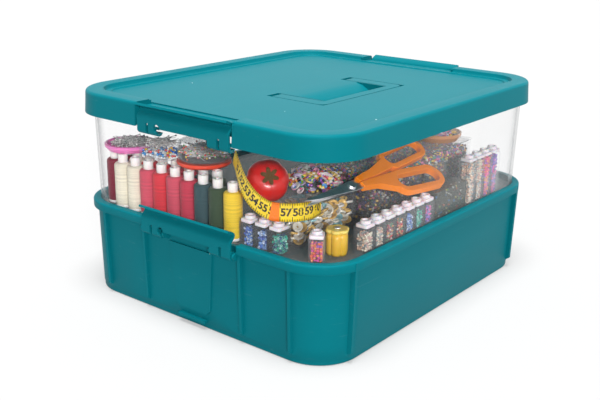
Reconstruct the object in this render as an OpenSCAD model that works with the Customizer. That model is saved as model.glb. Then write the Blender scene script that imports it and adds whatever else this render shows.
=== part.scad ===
// Stacking thread and sewing box: an opaque base, a clear upper tray, a lid with a fold-flat carry handle,
// four snap latches, and the threads, notions and beads in the tray.
// Millimetres. +X is the long axis with a latch pair at each end, the front long side faces -Y, and
// the origin is at the centre of the underside.

/* [Base] */
// Outer length of the base at its rim
base_l = 352; // [340:1:380]
// Outer width of the base at its rim
base_w = 310; // [300:1:340]
// Height of the base at the top of its rim
base_h = 90; // [84:1:120]
// Corner radius of the rim, seen from above
base_r = 46; // [40:1:56]
// Wall thickness of the base
base_wall = 2.2; // [1.8:0.1:2.6]
// Overhang of the rim over the wall, at the top
rim_overhang = 4.4; // [4:0.1:5]
// Height of the rim bead
rim_h = 8; // [7:0.5:10]
// Inward taper of the wall from top to bottom
base_draft = 2; // [1:0.1:3]
// Distance of the outer ribs of an end from the long sides
end_rib_in = 43; // [42:1:60]
// Distance of the ribs on the long sides from the ends
side_rib_in = 36; // [36:1:90]
// Width of each rib
rib_w = 3; // [2:0.5:4]
// How far a rib stands out of the wall
rib_out = 3.6; // [2:0.1:4]

/* [Clear tray] */
// Height of the tray from its underside to its top edge
tray_h = 108.3; // [95:0.1:150]
// Depth that the tray nests in the base rim
nest_depth = 6; // [5:0.5:8]
// Running clearance between the tray and the base rim
nest_gap = 0.5; // [0.3:0.1:0.8]
// Wall thickness of the tray
tray_wall = 2; // [1.5:0.1:2.5]
// Outward taper of the tray wall over its height
tray_draft = 2.6; // [1.5:0.1:3]
// Height of the vertical lines raised on the clear wall
tray_rib_out = 0.6; // [0.4:0.1:1]

/* [Lid] */
// How far the lid stands out past each end of the base
lid_out_x = 4; // [3:0.1:6]
// How far the lid stands out past each long side of the base
lid_out_y = 1; // [0.5:0.1:3]
// Corner radius of the lid, seen from above
lid_r = 48; // [44:1:56]
// Height of the lid from its skirt to its top
lid_h = 21; // [19:0.5:24]
// Wall thickness of the lid
lid_wall = 2.2; // [1.8:0.1:2.4]
// Width of the raised border round the panel
border_w = 18; // [14:0.5:22]
// Depth of the panel below the border
panel_drop = 4.5; // [4:0.1:5]
// Width of the low step inside the border
step_w = 5; // [3:0.5:8]
// Gap between the lid and the top edge of the tray
seat_gap = 0.2; // [0.1:0.05:0.4]

/* [Latches] */
// Length of a latch along its hinge
latch_l = 108; // [90:1:120]
// Height of the hinge axis of a base latch
hinge_z = 80; // [79:0.5:81]
// Depth of a lid latch's hinge axis below the tray's top edge
latch_drop = 20.3; // [20:0.1:20.6]
// Thickness of the latch plate
latch_t = 2; // [1.6:0.1:2.2]
// Radius of the hinge rods
rod_r = 1.5; // [1.2:0.05:1.6]
// Radial clearance of a latch on its rod
rod_gap = 0.08; // [0.05:0.01:0.1]
// Outer radius of the clip that snaps on the rod
clip_r = 3.9; // [3.4:0.1:4]
// Length of each end of the latch that reaches down to the rod
ear_l = 24; // [18:1:28]
// Clearance of the latch to the lugs beside it
lug_gap = 0.5; // [0.3:0.1:0.8]
// Thickness of the lugs that hold the rods
lug_t = 2.2; // [1.6:0.1:2.4]

/* [Handle] */
// Half of the handle's outer width
bail_x = 64; // [56:1:70]
// Width of the handle's arms
bail_arm = 14; // [12:1:17]
// Distance from the handle's hinge to the outer edge of its grip
bail_reach = 59; // [54:1:66]
// Width of the grip bar
grip_w = 10; // [9:0.5:12]
// Thickness of the handle
bail_t = 4; // [3.4:0.1:4.2]
// Gap round the handle in its well
well_gap = 1.2; // [0.8:0.1:1.6]
// Room behind the handle's hinge for the arms to swing up
hinge_room = 4; // [3:0.5:5]
// Depth of the finger pocket below the panel
pocket_deep = 20; // [14:1:22]

/* [Contents] */
// Clearance between two wound spools
spool_gap = 0.8; // [0.6:0.1:1.2]
// Height of a spool with its cap
spool_h = 50.5; // [44:0.5:56]
// Height of the small bead boxes along the front
vial_h = 27; // [22:0.5:28]
// Depth of the small bead boxes
vial_d = 13; // [10:0.5:14]
// Wall thickness of the small bead boxes
vial_wall = 1; // [0.8:0.1:1.2]
// Radius of the pincushion
tomato_r = 17.5; // [15:0.5:18.5]
// Width of the measuring tape
tape_w = 15.5; // [12:0.5:17]
// Thickness of the measuring tape
tape_t = 0.6; // [0.4:0.1:0.9]
// Radius of the round pin containers
pin_r = 24.5; // [20:0.5:25]

/* [Hidden] */
teal = [0.07, 0.42, 0.46];
clear = [0.85, 0.9, 0.92, 0.35];
white = [0.93, 0.93, 0.92];
eps = 0.01;

// Places of the ribs
end_rib_y = base_w / 2 - end_rib_in;
side_rib_x = base_l / 2 - side_rib_in;

// Heights that everything stacks on
tray_z = base_h - nest_depth;
hinge_x = base_l / 2;
lid_l = base_l + 2 * lid_out_x;
lid_w = base_w + 2 * lid_out_y;
tray_top = tray_z + tray_h;
panel_under = tray_top + seat_gap - 4.3;
lid_top = panel_under + lid_wall + panel_drop;
lid_z = lid_top - lid_h;
panel_z = lid_top - panel_drop;
lid_hinge_z = tray_top - latch_drop;

// Sizes of the tray at its underside
tray_l = base_l - 2 * (7 + nest_gap);
tray_ww = base_w - 2 * (7 + nest_gap);
tray_r = base_r - 7 - nest_gap;
tray_floor = 2.3;
floor_z = tray_z + tray_floor;
inner_x = tray_l / 2 - tray_wall;
inner_y = tray_ww / 2 - tray_wall;

// The notch that each latch lies in
notch_y = latch_l / 2 + lug_gap + lug_t + 0.3;

// Stretches a side profile along one straight side, with x outward and y up
module side_run(len) {
  rotate([90, 0, 0]) translate([0, 0, -len / 2]) linear_extrude(len) children();
}

// Sweeps a wall profile round a rounded rectangle. x = 0 is the outer face and y is the height.
module swept(l, w, r) {
  for (q = [0:3]) {
    half_out = (q % 2 == 0) ? l / 2 : w / 2;
    half_run = (q % 2 == 0) ? w / 2 - r : l / 2 - r;
    rotate(q * 90) translate([half_out, 0, 0]) side_run(2 * half_run) children();
    rotate(q * 90) translate([half_out - r, half_run, 0])
      rotate_extrude(angle = 90, $fn = 96) translate([r, 0]) children();
  }
}

// A flat plate with rounded corners
module slab(l, w, r, h) {
  linear_extrude(h) {
    square([l - 2 * r, w], center = true);
    square([l, w - 2 * r], center = true);
    for (x = [-1, 1], y = [-1, 1])
      translate([x * (l / 2 - r), y * (w / 2 - r)]) circle(r, $fn = 96);
  }
}

// Draws its children at the right end, or turned half round at the left end
module at_end(side) {
  rotate(side > 0 ? 0 : 180) children();
}

// Points of a quarter round from angle a to angle b
function arc(cx, cy, r, a, b, n = 6) = [for (i = [0:n]) [cx + r * cos(a + (b - a) * i / n),
                                                        cy + r * sin(a + (b - a) * i / n)]];

// Hinge rods and the lugs that carry them, moulded to a wall at wall_x
module hinge_lugs(wall_x, z) {
  for (side = [-1, 1]) at_end(side) {
    for (e = [-1, 1]) {
      y_out = e * (latch_l / 2 + lug_gap);
      y_in = e * (latch_l / 2 - ear_l - lug_gap);
      for (p = [[y_out, e], [y_in, -e]])
        translate([0, p[0] + (p[1] > 0 ? 0 : -lug_t), z]) rotate([-90, 0, 0]) linear_extrude(lug_t) {
          translate([hinge_x, 0]) circle(2.9, $fn = 48);
          polygon([[wall_x - 1.5, -2.9], [hinge_x, -2.9], [hinge_x, 2.9], [wall_x - 1.5, 6]]);
        }
      translate([hinge_x, min(y_out, y_in) - eps, z]) rotate([-90, 0, 0])
        cylinder(h = ear_l + 2 * lug_gap + 2 * eps, r = rod_r, $fn = 48);
    }
  }
}

// Ledge that a latch hooks over, standing out of a wall at wall_x above a hinge at height z
module catch_ledge(wall_x, z, len) {
  for (side = [-1, 1]) at_end(side) translate([0, 0, z]) side_run(len)
    polygon([[wall_x - 1.2, 8.6], [hinge_x - 0.6, 9.6], [hinge_x - 0.6, 11.2], [hinge_x - 3.4, 14],
             [wall_x - 1.2, 14]]);
}

// Base
module base_profile() {
  top = base_h;
  under = base_h - rim_h;
  polygon(concat(
    [[-rim_overhang - base_draft - 4, 0], [-rim_overhang - base_draft - 1.6, 0]],
    arc(-rim_overhang - base_draft - 1.6, 1.4, 1.4, -90, 0),
    [[-rim_overhang - base_draft - 0.2, 5], [-rim_overhang - base_draft + 0.4, 6],
     [-rim_overhang, under - 2], [-rim_overhang, top - 2], [-2, top - 2], [-2, under], [-0.6, under]],
    arc(-0.6, under + 0.6, 0.6, -90, 0, 4),
    arc(-1.8, top - 1.8, 1.8, 0, 90),
    [[-7, top], [-7, tray_z], [-11, tray_z], [-11, tray_z - 1.6], [-rim_overhang - base_wall, tray_z - 7],
     [-rim_overhang - base_draft - base_wall + 0.4, 4.4]],
    arc(-rim_overhang - base_draft - base_wall - 1.8, 4.4, 2.2, 0, -90),
    [[-rim_overhang - base_draft - 6, 2.2], [-rim_overhang - base_draft - 6, 0]]));
}

module rib_profile() {
  bottom = -rim_overhang - base_draft;
  polygon([[bottom - 1.2, 8], [bottom + 0.4, 8], [bottom + rib_out - 0.4, 10],
           [-rim_overhang + rib_out, base_h - 1], [-rim_overhang - 1.2, base_h - 1]]);
}

// Panel under each latch that guides a box stacked beside it, with its finger ledge
module end_panel() {
  wall = base_l / 2 - rim_overhang - base_draft;
  top = base_h - rim_h - 8;
  lean = atan(base_draft / top);
  half_top = latch_l / 2 - ear_l - 4;
  half_low = half_top - 4.5;
  translate([wall - 1, 0, 6]) rotate([0, lean, 0]) rotate([90, 0, 90]) linear_extrude(2.6)
    polygon([[-half_top, top - 6], [half_top, top - 6], [half_low, 13], [half_low - 5, 8], [5 - half_low, 8],
             [-half_low, 13]]);
  translate([wall - 1, 5 - half_low, 6]) cube([5.4, 2 * (half_low - 5), 2.6]);
}

module base_box() {
  color(teal) difference() {
    union() {
      swept(base_l, base_w, base_r) base_profile();
      slab(base_l - 20, base_w - 20, base_r - 10, 2.2);
      for (side = [-1, 1]) {
        at_end(side) {
          for (y = [-end_rib_y, -notch_y - rib_w / 2, notch_y + rib_w / 2, end_rib_y])
            translate([base_l / 2, y, 0]) side_run(rib_w) rib_profile();
          end_panel();
        }
        rotate(side * 90) for (x = [-side_rib_x, side_rib_x])
          translate([base_w / 2, x, 0]) side_run(rib_w) rib_profile();
      }
    }
    // The rim is open for each latch
    for (side = [-1, 1]) at_end(side) {
      translate([base_l / 2 - rim_overhang, -notch_y, base_h - rim_h - 3])
        cube([20, 2 * notch_y, rim_h + 10]);
      translate([base_l / 2 - 9, -notch_y, base_h - 2.6]) cube([20, 2 * notch_y, 10]);
    }
  }
  color(teal) hinge_lugs(base_l / 2 - rim_overhang, hinge_z);
}

// Clear tray
module tray_profile() {
  flange = tray_h - 13;
  d = tray_draft;
  polygon(concat(
    [[-8, 0]],
    arc(-1.5, 1.5, 1.5, -90, 0),
    [[d * flange / tray_h, flange], [d + 2.6, flange], [d + 2.6, flange + 2], [d * 0.92, flange + 2],
     [d, tray_h], [d - tray_wall, tray_h], [-tray_wall, tray_floor + 1.2]],
    arc(-tray_wall - 1.2, tray_floor + 1.2, 1.2, 0, -90),
    [[-8, tray_floor]]));
}

module tray_line() {
  polygon([[-1, nest_depth + 1], [tray_rib_out, nest_depth + 1.5],
           [tray_draft * 0.88 + tray_rib_out, tray_h - 14], [tray_draft * 0.88 - 1, tray_h - 14]]);
}

module clear_tray() {
  line_w = 2;
  color(clear) translate([0, 0, tray_z]) difference() {
    union() {
      swept(tray_l, tray_ww, tray_r) tray_profile();
      slab(tray_l - 12, tray_ww - 12, tray_r - 6, tray_floor);
      for (side = [-1, 1]) {
        at_end(side) for (y = [-93, -notch_y, notch_y, 93])
          translate([tray_l / 2, y, 0]) side_run(line_w) tray_line();
        rotate(side * 90) for (x = [-1, 1])
          translate([tray_ww / 2, x * (tray_l / 2 - tray_r - 1.2), 0]) side_run(line_w) tray_line();
      }
    }
    // The top edge dips and the flange stops where the lid latches lie
    for (side = [-1, 1]) at_end(side) {
      translate([tray_l / 2 - 8, -notch_y - 3, tray_h - 4.6]) cube([20, 2 * notch_y + 6, 20]);
      translate([tray_l / 2 + tray_draft, -notch_y - lid_wall - 0.8, tray_h - 14])
        cube([20, 2 * (notch_y + lid_wall + 0.8), 20]);
    }
  }
  color(clear) hinge_lugs(tray_l / 2 + tray_draft - 0.6, lid_hinge_z);
  color(clear) catch_ledge(tray_l / 2, hinge_z, latch_l - 8);
}

// Lid
module lid_profile() {
  t = lid_wall;
  top = lid_h;
  in = border_w + 1.5;
  polygon(concat(
    [[-t, 0], [0, 0]],
    arc(-4.2, top - 3, 3, 0, 90),
    arc(-border_w + 1, top - 1, 1, 90, 180, 4),
    [[-in, top - panel_drop + 1.2], [-in - step_w, top - panel_drop + 1.2],
     [-in - step_w - 1, top - panel_drop], [-in - step_w - 4, top - panel_drop],
     [-in - step_w - 4, top - panel_drop - t], [-in + t * 0.6, top - panel_drop - t],
     [-border_w + t + 0.8, top - t]],
    arc(-4.6, top - t - 1.6, 1.6, 90, 0, 4),
    [[-t, 3]]));
}

// Well for the folded handle, with the finger pocket beneath the grip
module handle_well(grow) {
  half = bail_x + well_gap + grow;
  front = -bail_reach - well_gap - grow;
  back = bail_t / 2 + hinge_room + grow;
  deep = bail_t + 0.2 + grow;
  translate([-half, front, panel_z - deep]) cube([2 * half, back - front, deep + (grow > 0 ? 0 : 1)]);
}

module finger_pocket(grow) {
  half = bail_x - bail_arm - well_gap - 1 + grow;
  deep = panel_z - pocket_deep - grow;
  inner = -bail_reach + grip_w;
  under = -bail_reach + 3 - grow;
  top = panel_z + (grow > 0 ? 0 : 1);
  translate([-half, 0, 0]) rotate([90, 0, 90]) linear_extrude(2 * half)
    polygon([[inner + 35 + grow, top], [inner + 35 + grow, panel_z - grow],
             [inner + 27 + grow, panel_z - 2 - grow], [inner + 16 + grow, panel_z - 8 - grow],
             [inner + 7 + grow, deep], [under, deep], [under, top]]);
}

module lid() {
  back = hinge_x - 2.6;
  end_z = lid_hinge_z + 8.5;
  color(teal) difference() {
    union() {
      translate([0, 0, lid_z]) swept(lid_l, lid_w, lid_r) lid_profile();
      translate([0, 0, panel_under])
        slab(lid_l - 2 * border_w - 14, lid_w - 2 * border_w - 14, lid_r - border_w - 7, lid_wall);
      handle_well(lid_wall);
      finger_pocket(lid_wall);
      for (side = [-1, 1]) at_end(side) {
        // Plate, back wall and side walls that close the border where the latch lies
        translate([lid_l / 2 - border_w - 10, -notch_y - lid_wall, panel_under])
          cube([back - lid_l / 2 + border_w + 10, 2 * (notch_y + lid_wall), lid_wall]);
        for (e = [-1, 1])
          translate([lid_l / 2 - border_w - 2, e > 0 ? notch_y : -notch_y - lid_wall, panel_under])
            cube([border_w + 0.4, lid_wall, lid_top - panel_under - 1]);
        translate([back - 1.6, -notch_y - 1, end_z])
          cube([1.6, 2 * notch_y + 2, panel_z - end_z]);
        for (e = [-1, 1])
          translate([back - 1.6, e > 0 ? notch_y : -notch_y - lid_wall, lid_z + 0.6])
            cube([lid_l / 2 - back + 0.8, lid_wall, lid_h - 4]);
      }
    }
    for (side = [-1, 1]) at_end(side) {
      translate([back, -notch_y, lid_z - 1]) cube([20, 2 * notch_y, lid_h + 2]);
      translate([lid_l / 2 - border_w - 3, -notch_y, panel_z]) cube([30, 2 * notch_y, 20]);
      translate([back - 30, -notch_y, lid_z - 1]) cube([40, 2 * notch_y, end_z - lid_z + 1]);
    }
    difference() {
      handle_well(0);
      // The panel stays level between the arms
      translate([-bail_x + bail_arm + well_gap, -bail_reach + grip_w + well_gap, 0])
        cube([2 * (bail_x - bail_arm - well_gap), bail_reach, panel_z]);
    }
    finger_pocket(0);
    translate([-bail_x - 4.5, 0, panel_z - bail_t / 2]) rotate([0, 90, 0])
      cylinder(h = 2 * bail_x + 9, r = rod_r + rod_gap, $fn = 48);
  }
  color(teal) catch_ledge(back, lid_hinge_z, latch_l - 8);
}

// Handle
module carry_handle() {
  z = panel_z - bail_t / 2;
  color(teal) difference() {
    union() {
      translate([0, 0, z - bail_t / 2]) linear_extrude(bail_t) difference() {
        union() {
          translate([-bail_x, -bail_reach + 8]) square([2 * bail_x, bail_reach - 8]);
          translate([-bail_x + 8, -bail_reach]) square([2 * bail_x - 16, 8 + eps]);
          for (x = [-1, 1]) translate([x * (bail_x - 8), -bail_reach + 8]) circle(8, $fn = 64);
        }
        translate([-bail_x + bail_arm, -bail_reach + grip_w])
          square([2 * (bail_x - bail_arm), bail_reach]);
      }
      for (x = [-1, 1]) {
        translate([x > 0 ? bail_x - bail_arm : -bail_x, 0, z]) rotate([0, 90, 0])
          cylinder(h = bail_arm, r = bail_t / 2, $fn = 48);
        translate([x > 0 ? bail_x - 1 : -bail_x - well_gap - 2, 0, z]) rotate([0, 90, 0])
          cylinder(h = well_gap + 3, r = rod_r, $fn = 48);
      }
    }
  }
}

// Latches. u points outward from the hinge axis and v points up.
bend_from = 11;
bend_to = 18;
lip_v = 22.8;
plate_u = 4 - latch_t / 2;
bulge_u = -1.5;
lip_u = 6.3;
function latch_mid(v) =
  v < bend_from ? plate_u
  : v < bend_to ? plate_u + (bulge_u - plate_u) * (1 - cos(180 * (v - bend_from) / (bend_to - bend_from))) / 2
  : bulge_u + (lip_u - bulge_u) * (1 - cos(90 * (v - bend_to) / (lip_v - bend_to)));
function latch_slope(v) = (latch_mid(v + 0.05) - latch_mid(v - 0.05)) / 0.1;
function latch_side(v, s) =
  let (m = latch_slope(v), k = s * latch_t / 2 / sqrt(1 + m * m)) [latch_mid(v) + k, v - m * k];

module latch_profile() {
  steps = [for (v = [bend_from : 1 : lip_v - 0.1]) v];
  polygon(concat(
    [[plate_u + latch_t / 2, -1]], [for (v = steps) latch_side(v, 1)], [latch_side(lip_v - 0.1, 1)],
    [latch_side(lip_v - 0.1, -1)], [for (i = [len(steps) - 1 : -1 : 0]) latch_side(steps[i], -1)],
    [[plate_u - latch_t / 2, -1]]));
}

module latch() {
  slot_w = 3;
  gap_y = latch_l / 2 - ear_l;
  color(teal) difference() {
    union() {
      side_run(latch_l) latch_profile();
      for (e = [-1, 1]) translate([0, e > 0 ? gap_y : -latch_l / 2, 0]) rotate([-90, 0, 0])
        cylinder(h = ear_l, r = clip_r, $fn = 64);
    }
    // Rod bore and the mouth that snaps over the rod
    rotate([-90, 0, 0]) translate([0, 0, -latch_l / 2 - 1])
      cylinder(h = latch_l + 2, r = rod_r + rod_gap, $fn = 48);
    translate([-clip_r - 1, -latch_l / 2 - 1, -1.1]) cube([clip_r + 1, latch_l + 2, 2.2]);
    // The lower edge is cut away between the two ends
    translate([-10, -gap_y, -10]) cube([20, 2 * gap_y, 13.4]);
    translate([-10, -gap_y, 3.4]) rotate([0, 90, 0]) cylinder(h = 30, r = 3.6, $fn = 48);
    // A slot in each end
    for (e = [-1, 1])
      translate([1.2, e * (latch_l / 2 - ear_l / 2) - slot_w / 2, -6]) cube([10, slot_w, 12.4]);
  }
}

module base_latch_left() { at_end(-1) translate([hinge_x, 0, hinge_z]) latch(); }
module base_latch_right() { at_end(1) translate([hinge_x, 0, hinge_z]) latch(); }
module lid_latch_left() { at_end(-1) translate([hinge_x, 0, lid_hinge_z]) latch(); }
module lid_latch_right() { at_end(1) translate([hinge_x, 0, lid_hinge_z]) latch(); }

// Corner of the tray that the contents are laid out from
left = -inner_x;
front = -inner_y;

// Thread spools in two rows along the left end, filling it from the back to the bead boxes
back_room = 26;
front_room = 108.4;
spool_pitch = (2 * inner_y - back_room - front_room) / 9;
spool_r = (spool_pitch - spool_gap) / 2;
spool_x = left + spool_r + 0.8;
spool_y0 = inner_y - back_room;
corner_shift = 5.5;
front_row = [for (i = [0:9]) [spool_x + (i == 0 ? corner_shift : 0), spool_y0 - i * spool_pitch]];
back_row = [for (i = [0:7]) [spool_x + spool_pitch + (i == 0 ? corner_shift : 0), spool_y0 - i * spool_pitch]];
spools = concat(front_row, back_row);
// Index of each spool in the two rows, by colour
maroon = [0, 10];
cream = [1, 2, 11];
red = [4, 12, 13];
pink = [3, 5, 14];
rose = [6, 15];
slate = [7, 16];
olive = [8, 17];
yellow = [9];
core_r = 4.2;
foot_h = 2.5;
cap_h = 8;
shoulder = 3;

module spool_bobbins() {
  color(white) for (s = spools) translate([s[0], s[1], floor_z]) rotate_extrude($fn = 48)
    polygon([[0, 0], [spool_r - 0.6, 0], [spool_r - 0.4, foot_h - 0.4], [spool_r - 0.8, foot_h],
             [core_r, foot_h], [core_r, spool_h - cap_h], [5.4, spool_h - cap_h + 0.4],
             [5.6, spool_h - 0.5], [5, spool_h], [0, spool_h]]);
}

module threads(which) {
  top = spool_h - cap_h;
  for (i = which) translate([spools[i][0], spools[i][1], floor_z]) rotate_extrude($fn = 48)
    polygon(concat([[core_r, foot_h], [spool_r - 0.5, foot_h], [spool_r, foot_h + 1.5]],
                   arc(spool_r - shoulder, top - shoulder, shoulder, 0, 75),
                   [[core_r, top]]));
}
module thread_maroon() { color([0.42, 0.09, 0.16]) threads(maroon); }
module thread_cream() { color([0.9, 0.86, 0.78]) threads(cream); }
module thread_red() { color([0.78, 0.2, 0.24]) threads(red); }
module thread_pink() { color([0.83, 0.42, 0.5]) threads(pink); }
module thread_rose() { color([0.72, 0.3, 0.4]) threads(rose); }
module thread_slate() { color([0.25, 0.33, 0.36]) threads(slate); }
module thread_olive() { color([0.22, 0.3, 0.2]) threads(olive); }
module thread_yellow() { color([0.93, 0.78, 0.2]) threads(yellow); }

// Round dish of pins and round pin box, standing on the spool caps
caps_z = floor_z + spool_h;
dish_at = [left + 27.6, spool_y0 - 8];
box_at = [left + 34.6, spool_y0 - 98];

module pin_dish() {
  color([0.9, 0.45, 0.65]) translate([dish_at[0], dish_at[1], caps_z]) rotate_extrude($fn = 64)
    polygon([[0, 0], [pin_r - 3, 0], [pin_r, 3.6], [pin_r, 6], [pin_r - 1.5, 6.6], [pin_r - 2.4, 6],
             [pin_r - 4, 1.4], [0, 1.4]]);
}

module dish_pins() {
  color([0.75, 0.72, 0.7]) translate([dish_at[0], dish_at[1], caps_z + 1.4]) rotate_extrude($fn = 48)
    polygon([[0, 0], [pin_r - 8, 0], [pin_r - 10, 3], [pin_r * 0.35, 7], [0, 9]]);
}

module pin_box() {
  w = 1;
  color(clear) translate([box_at[0], box_at[1], caps_z + 4.2]) rotate_extrude($fn = 64)
    polygon(concat([[0, 0], [pin_r - 3, 0], [pin_r - 1, 2], [pin_r - 1, 14]], arc(pin_r - 5, 14, 4, 0, 90),
                   [[0, 18], [0, 18 - w]], arc(pin_r - 5, 14, 4 - w, 90, 0),
                   [[pin_r - 1 - w, 2.6], [pin_r - 3.4, w], [0, w]]));
}

module pin_box_base() {
  color([0.9, 0.3, 0.15]) translate([box_at[0], box_at[1], caps_z]) rotate_extrude($fn = 64)
    polygon([[0, 0], [pin_r - 2, 0], [pin_r, 1.6], [pin_r, 4.2], [0, 4.2]]);
}

module box_pins() {
  color([0.8, 0.7, 0.65]) translate([box_at[0], box_at[1], caps_z + 5.3]) rotate_extrude($fn = 48)
    polygon([[0, 0], [pin_r - 5, 0], [pin_r - 3.2, 2], [pin_r - 6, 8], [0, 12]]);
}

// Boxes that carry the loose things
button_x0 = left + 24;
button_x1 = left + 104.5;
button_y0 = front + 49.5;
button_y1 = front + 105.5;
button_h = vial_h + 11;
button_wall = 1.4;

module button_box() {
  color(clear) translate([button_x0, button_y0, floor_z]) difference() {
    cube([button_x1 - button_x0, button_y1 - button_y0, button_h - 5]);
    translate([button_wall, button_wall, button_wall])
      cube([button_x1 - button_x0 - 2 * button_wall, button_y1 - button_y0 - 2 * button_wall, button_h]);
  }
}

module button_box_lid() {
  over = 0.8;
  color(clear) translate([button_x0 - over, button_y0 - over, floor_z + button_h - 5])
    cube([button_x1 - button_x0 + 2 * over, button_y1 - button_y0 + 2 * over, 3.6]);
}

module box_buttons() {
  gap = button_wall + 0.2;
  color([0.8, 0.68, 0.4]) translate([button_x0 + gap, button_y0 + gap, floor_z + button_wall])
    cube([button_x1 - button_x0 - 2 * gap, button_y1 - button_y0 - 2 * gap, button_h - 9]);
}

shelf_z = floor_z + button_h - 1.4;

// Pincushion: a squat ball with six drawn-in seams and a dimpled crown
tomato_at = [left + 25.5, front + 84.5];
tomato_h = 33;
function tomato_r_at(a, lat) =
  tomato_r * cos(lat) * (1 - 0.055 * pow(abs(cos(3 * a)), 6)) * (1 + 0.05 * cos(lat));
function tomato_z_at(lat) =
  tomato_h / 2 * sin(lat) * (1 - 0.16 * pow(max(0, sin(abs(lat))), 12));

tomato_crown = max([for (lat = [50 : 5 : 90]) tomato_z_at(lat)]);
tomato_mid_z = shelf_z + 0.3 + tomato_crown;

module tomato_cushion() {
  around = 48;
  rows = 20;
  lats = [for (j = [1 : rows - 1]) -90 + 180 * j / rows];
  ring = [for (lat = lats, i = [0 : around - 1])
    let (a = 360 * i / around, r = tomato_r_at(a, lat) / 1.05) [r * cos(a), r * sin(a), tomato_z_at(lat)]];
  bottom = len(ring);
  pts = concat(ring, [[0, 0, tomato_z_at(-90)], [0, 0, tomato_z_at(90)]]);
  faces = concat(
    [for (j = [0 : rows - 3], i = [0 : around - 1]) each
      let (a = j * around + i, b = j * around + (i + 1) % around)
      [[a, a + around, b], [b, a + around, b + around]]],
    [for (i = [0 : around - 1]) [bottom, i, (i + 1) % around]],
    [for (i = [0 : around - 1])
      let (k = (rows - 2) * around) [bottom + 1, k + (i + 1) % around, k + i]]);
  color([0.78, 0.08, 0.06]) translate([tomato_at[0], tomato_at[1], tomato_mid_z])
    polyhedron(pts, faces);
}

module tomato_leaf() {
  z = tomato_mid_z + tomato_crown + 0.1;
  color([0.25, 0.2, 0.1]) translate([tomato_at[0], tomato_at[1], z]) linear_extrude(1.6)
    polygon([for (i = [0:23]) let (r = [6.5, 4, 2.6, 4][i % 4]) [r * cos(i * 15), r * sin(i * 15)]]);
}

// Measuring tape lying on its edge in a loose bow
tape_z = floor_z + vial_h + tape_w / 2 + 0.2;
tape_path = [for (p = [[14.5, 111.5, 36], [8.5, 101.5, 28], [4.5, 91.5, 17], [3.5, 79.5, 7], [5.5, 65.5, 1],
                       [11.5, 53.5, 0], [21.5, 44.5, 0], [33.5, 41.5, 0], [45.5, 43.5, 0]])
               [left, front, tape_z] + p];
function tape_point(t) =
  let (n = len(tape_path) - 1, k = min(floor(t * n), n - 1), f = t * n - k,
       p0 = tape_path[max(k - 1, 0)], p1 = tape_path[k], p2 = tape_path[k + 1], p3 = tape_path[min(k + 2, n)])
  0.5 * (2 * p1 + (p2 - p0) * f + (2 * p0 - 5 * p1 + 4 * p2 - p3) * f * f
         + (3 * p1 - p0 - 3 * p2 + p3) * f * f * f);

module tape_measure() {
  n = 48;
  rings = [for (i = [0:n]) each
    let (t = i / n, p = tape_point(t), d = tape_point(min(t + 0.01, 1)) - tape_point(max(t - 0.01, 0)),
         run = d / norm(d), side = cross(run, [0, 0, 1]), out = side / norm(side), up = cross(out, run),
         a = out * tape_t / 2, b = up * tape_w / 2)
    [p + a - b, p + a + b, p - a + b, p - a - b]];
  faces = concat(
    [[2, 1, 0], [3, 2, 0]], [[4 * n, 4 * n + 1, 4 * n + 2], [4 * n, 4 * n + 2, 4 * n + 3]],
    [for (i = [0 : n - 1], k = [0:3]) each
      let (a = 4 * i + k, b = 4 * i + (k + 1) % 4) [[a, b, a + 4], [b, b + 4, a + 4]]]);
  color([0.95, 0.8, 0.1]) polyhedron(rings, faces);
}

// Scissors leaning on the bead bin, in their own frame: +x to the grips, +y up the slope, pivot at the origin
sc_at = [left + 70.5, front + 31, floor_z + 47.7];
sc_tilt = 32;
grip_t = 6.4;
module sc_frame() {
  translate(sc_at) rotate([sc_tilt, 0, 0]) children();
}

// Centre, half length, half width and turn of each finger loop
near_bow = [81, -17, 33, 13, -7];
far_bow = [93, 13.5, 34, 12, 4];
bow_w = 5.5;
module oval(half_l, r) {
  for (s = [-1, 1]) translate([s * (half_l - r), 0]) circle(r, $fn = 64);
  square([2 * (half_l - r), 2 * r], center = true);
}
module bow(b) {
  translate([b[0], b[1]]) rotate(b[4]) difference() {
    oval(b[2], b[3]);
    oval(b[2] - bow_w, b[3] - bow_w);
  }
}

module scissors_near_grip() {
  color([1, 0.45, 0.05]) sc_frame() translate([0, 0, -grip_t / 2]) linear_extrude(grip_t) {
    bow(near_bow);
    polygon([[11, -0.4], [34, -1], [60, -2], [54, -6], [52, -21], [30, -9], [11, -6]]);
  }
}
module scissors_far_grip() {
  color([1, 0.45, 0.05]) sc_frame() translate([0, 0, -grip_t / 2]) linear_extrude(grip_t) {
    bow(far_bow);
    polygon([[11, 0.4], [40, 0.6], [66, 2.5], [62, 6], [64, 16], [36, 9], [11, 6]]);
  }
}

// Blades: two flat halves that meet on the middle plane and narrow to the tips
blade_l = 61;
blade_t = 1.6;
half_gap = 0.03;
screw_r = 2;
module blade(flip) {
  z = flip > 0 ? half_gap : -blade_t - half_gap;
  translate([0, 0, z]) linear_extrude(blade_t) mirror([0, flip > 0 ? 0 : 1]) difference() {
    polygon([[10.8, -0.6], [10.8, -5.6], [0, -6], [-16, -4.4], [-blade_l + 16, -1.4], [-blade_l, 1.6],
             [-blade_l + 4, 2.6], [-16, 3.6], [0, 5]]);
    circle(screw_r + rod_gap, $fn = 48);
  }
}
module scissors_near_blade() {
  color([0.75, 0.76, 0.78]) sc_frame() blade(1);
}
module scissors_far_blade() {
  color([0.75, 0.76, 0.78]) sc_frame() blade(-1);
}
module scissors_screw() {
  color([0.6, 0.6, 0.62]) sc_frame() {
    translate([0, 0, -blade_t - 1]) cylinder(h = 2 * blade_t + 1.2, r = screw_r, $fn = 48);
    translate([0, 0, blade_t + half_gap]) cylinder(h = 1.4, r = 3.6, $fn = 48);
    translate([0, 0, -blade_t - 1.4]) cylinder(h = 1.3, r = 3.2, $fn = 48);
  }
}

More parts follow.
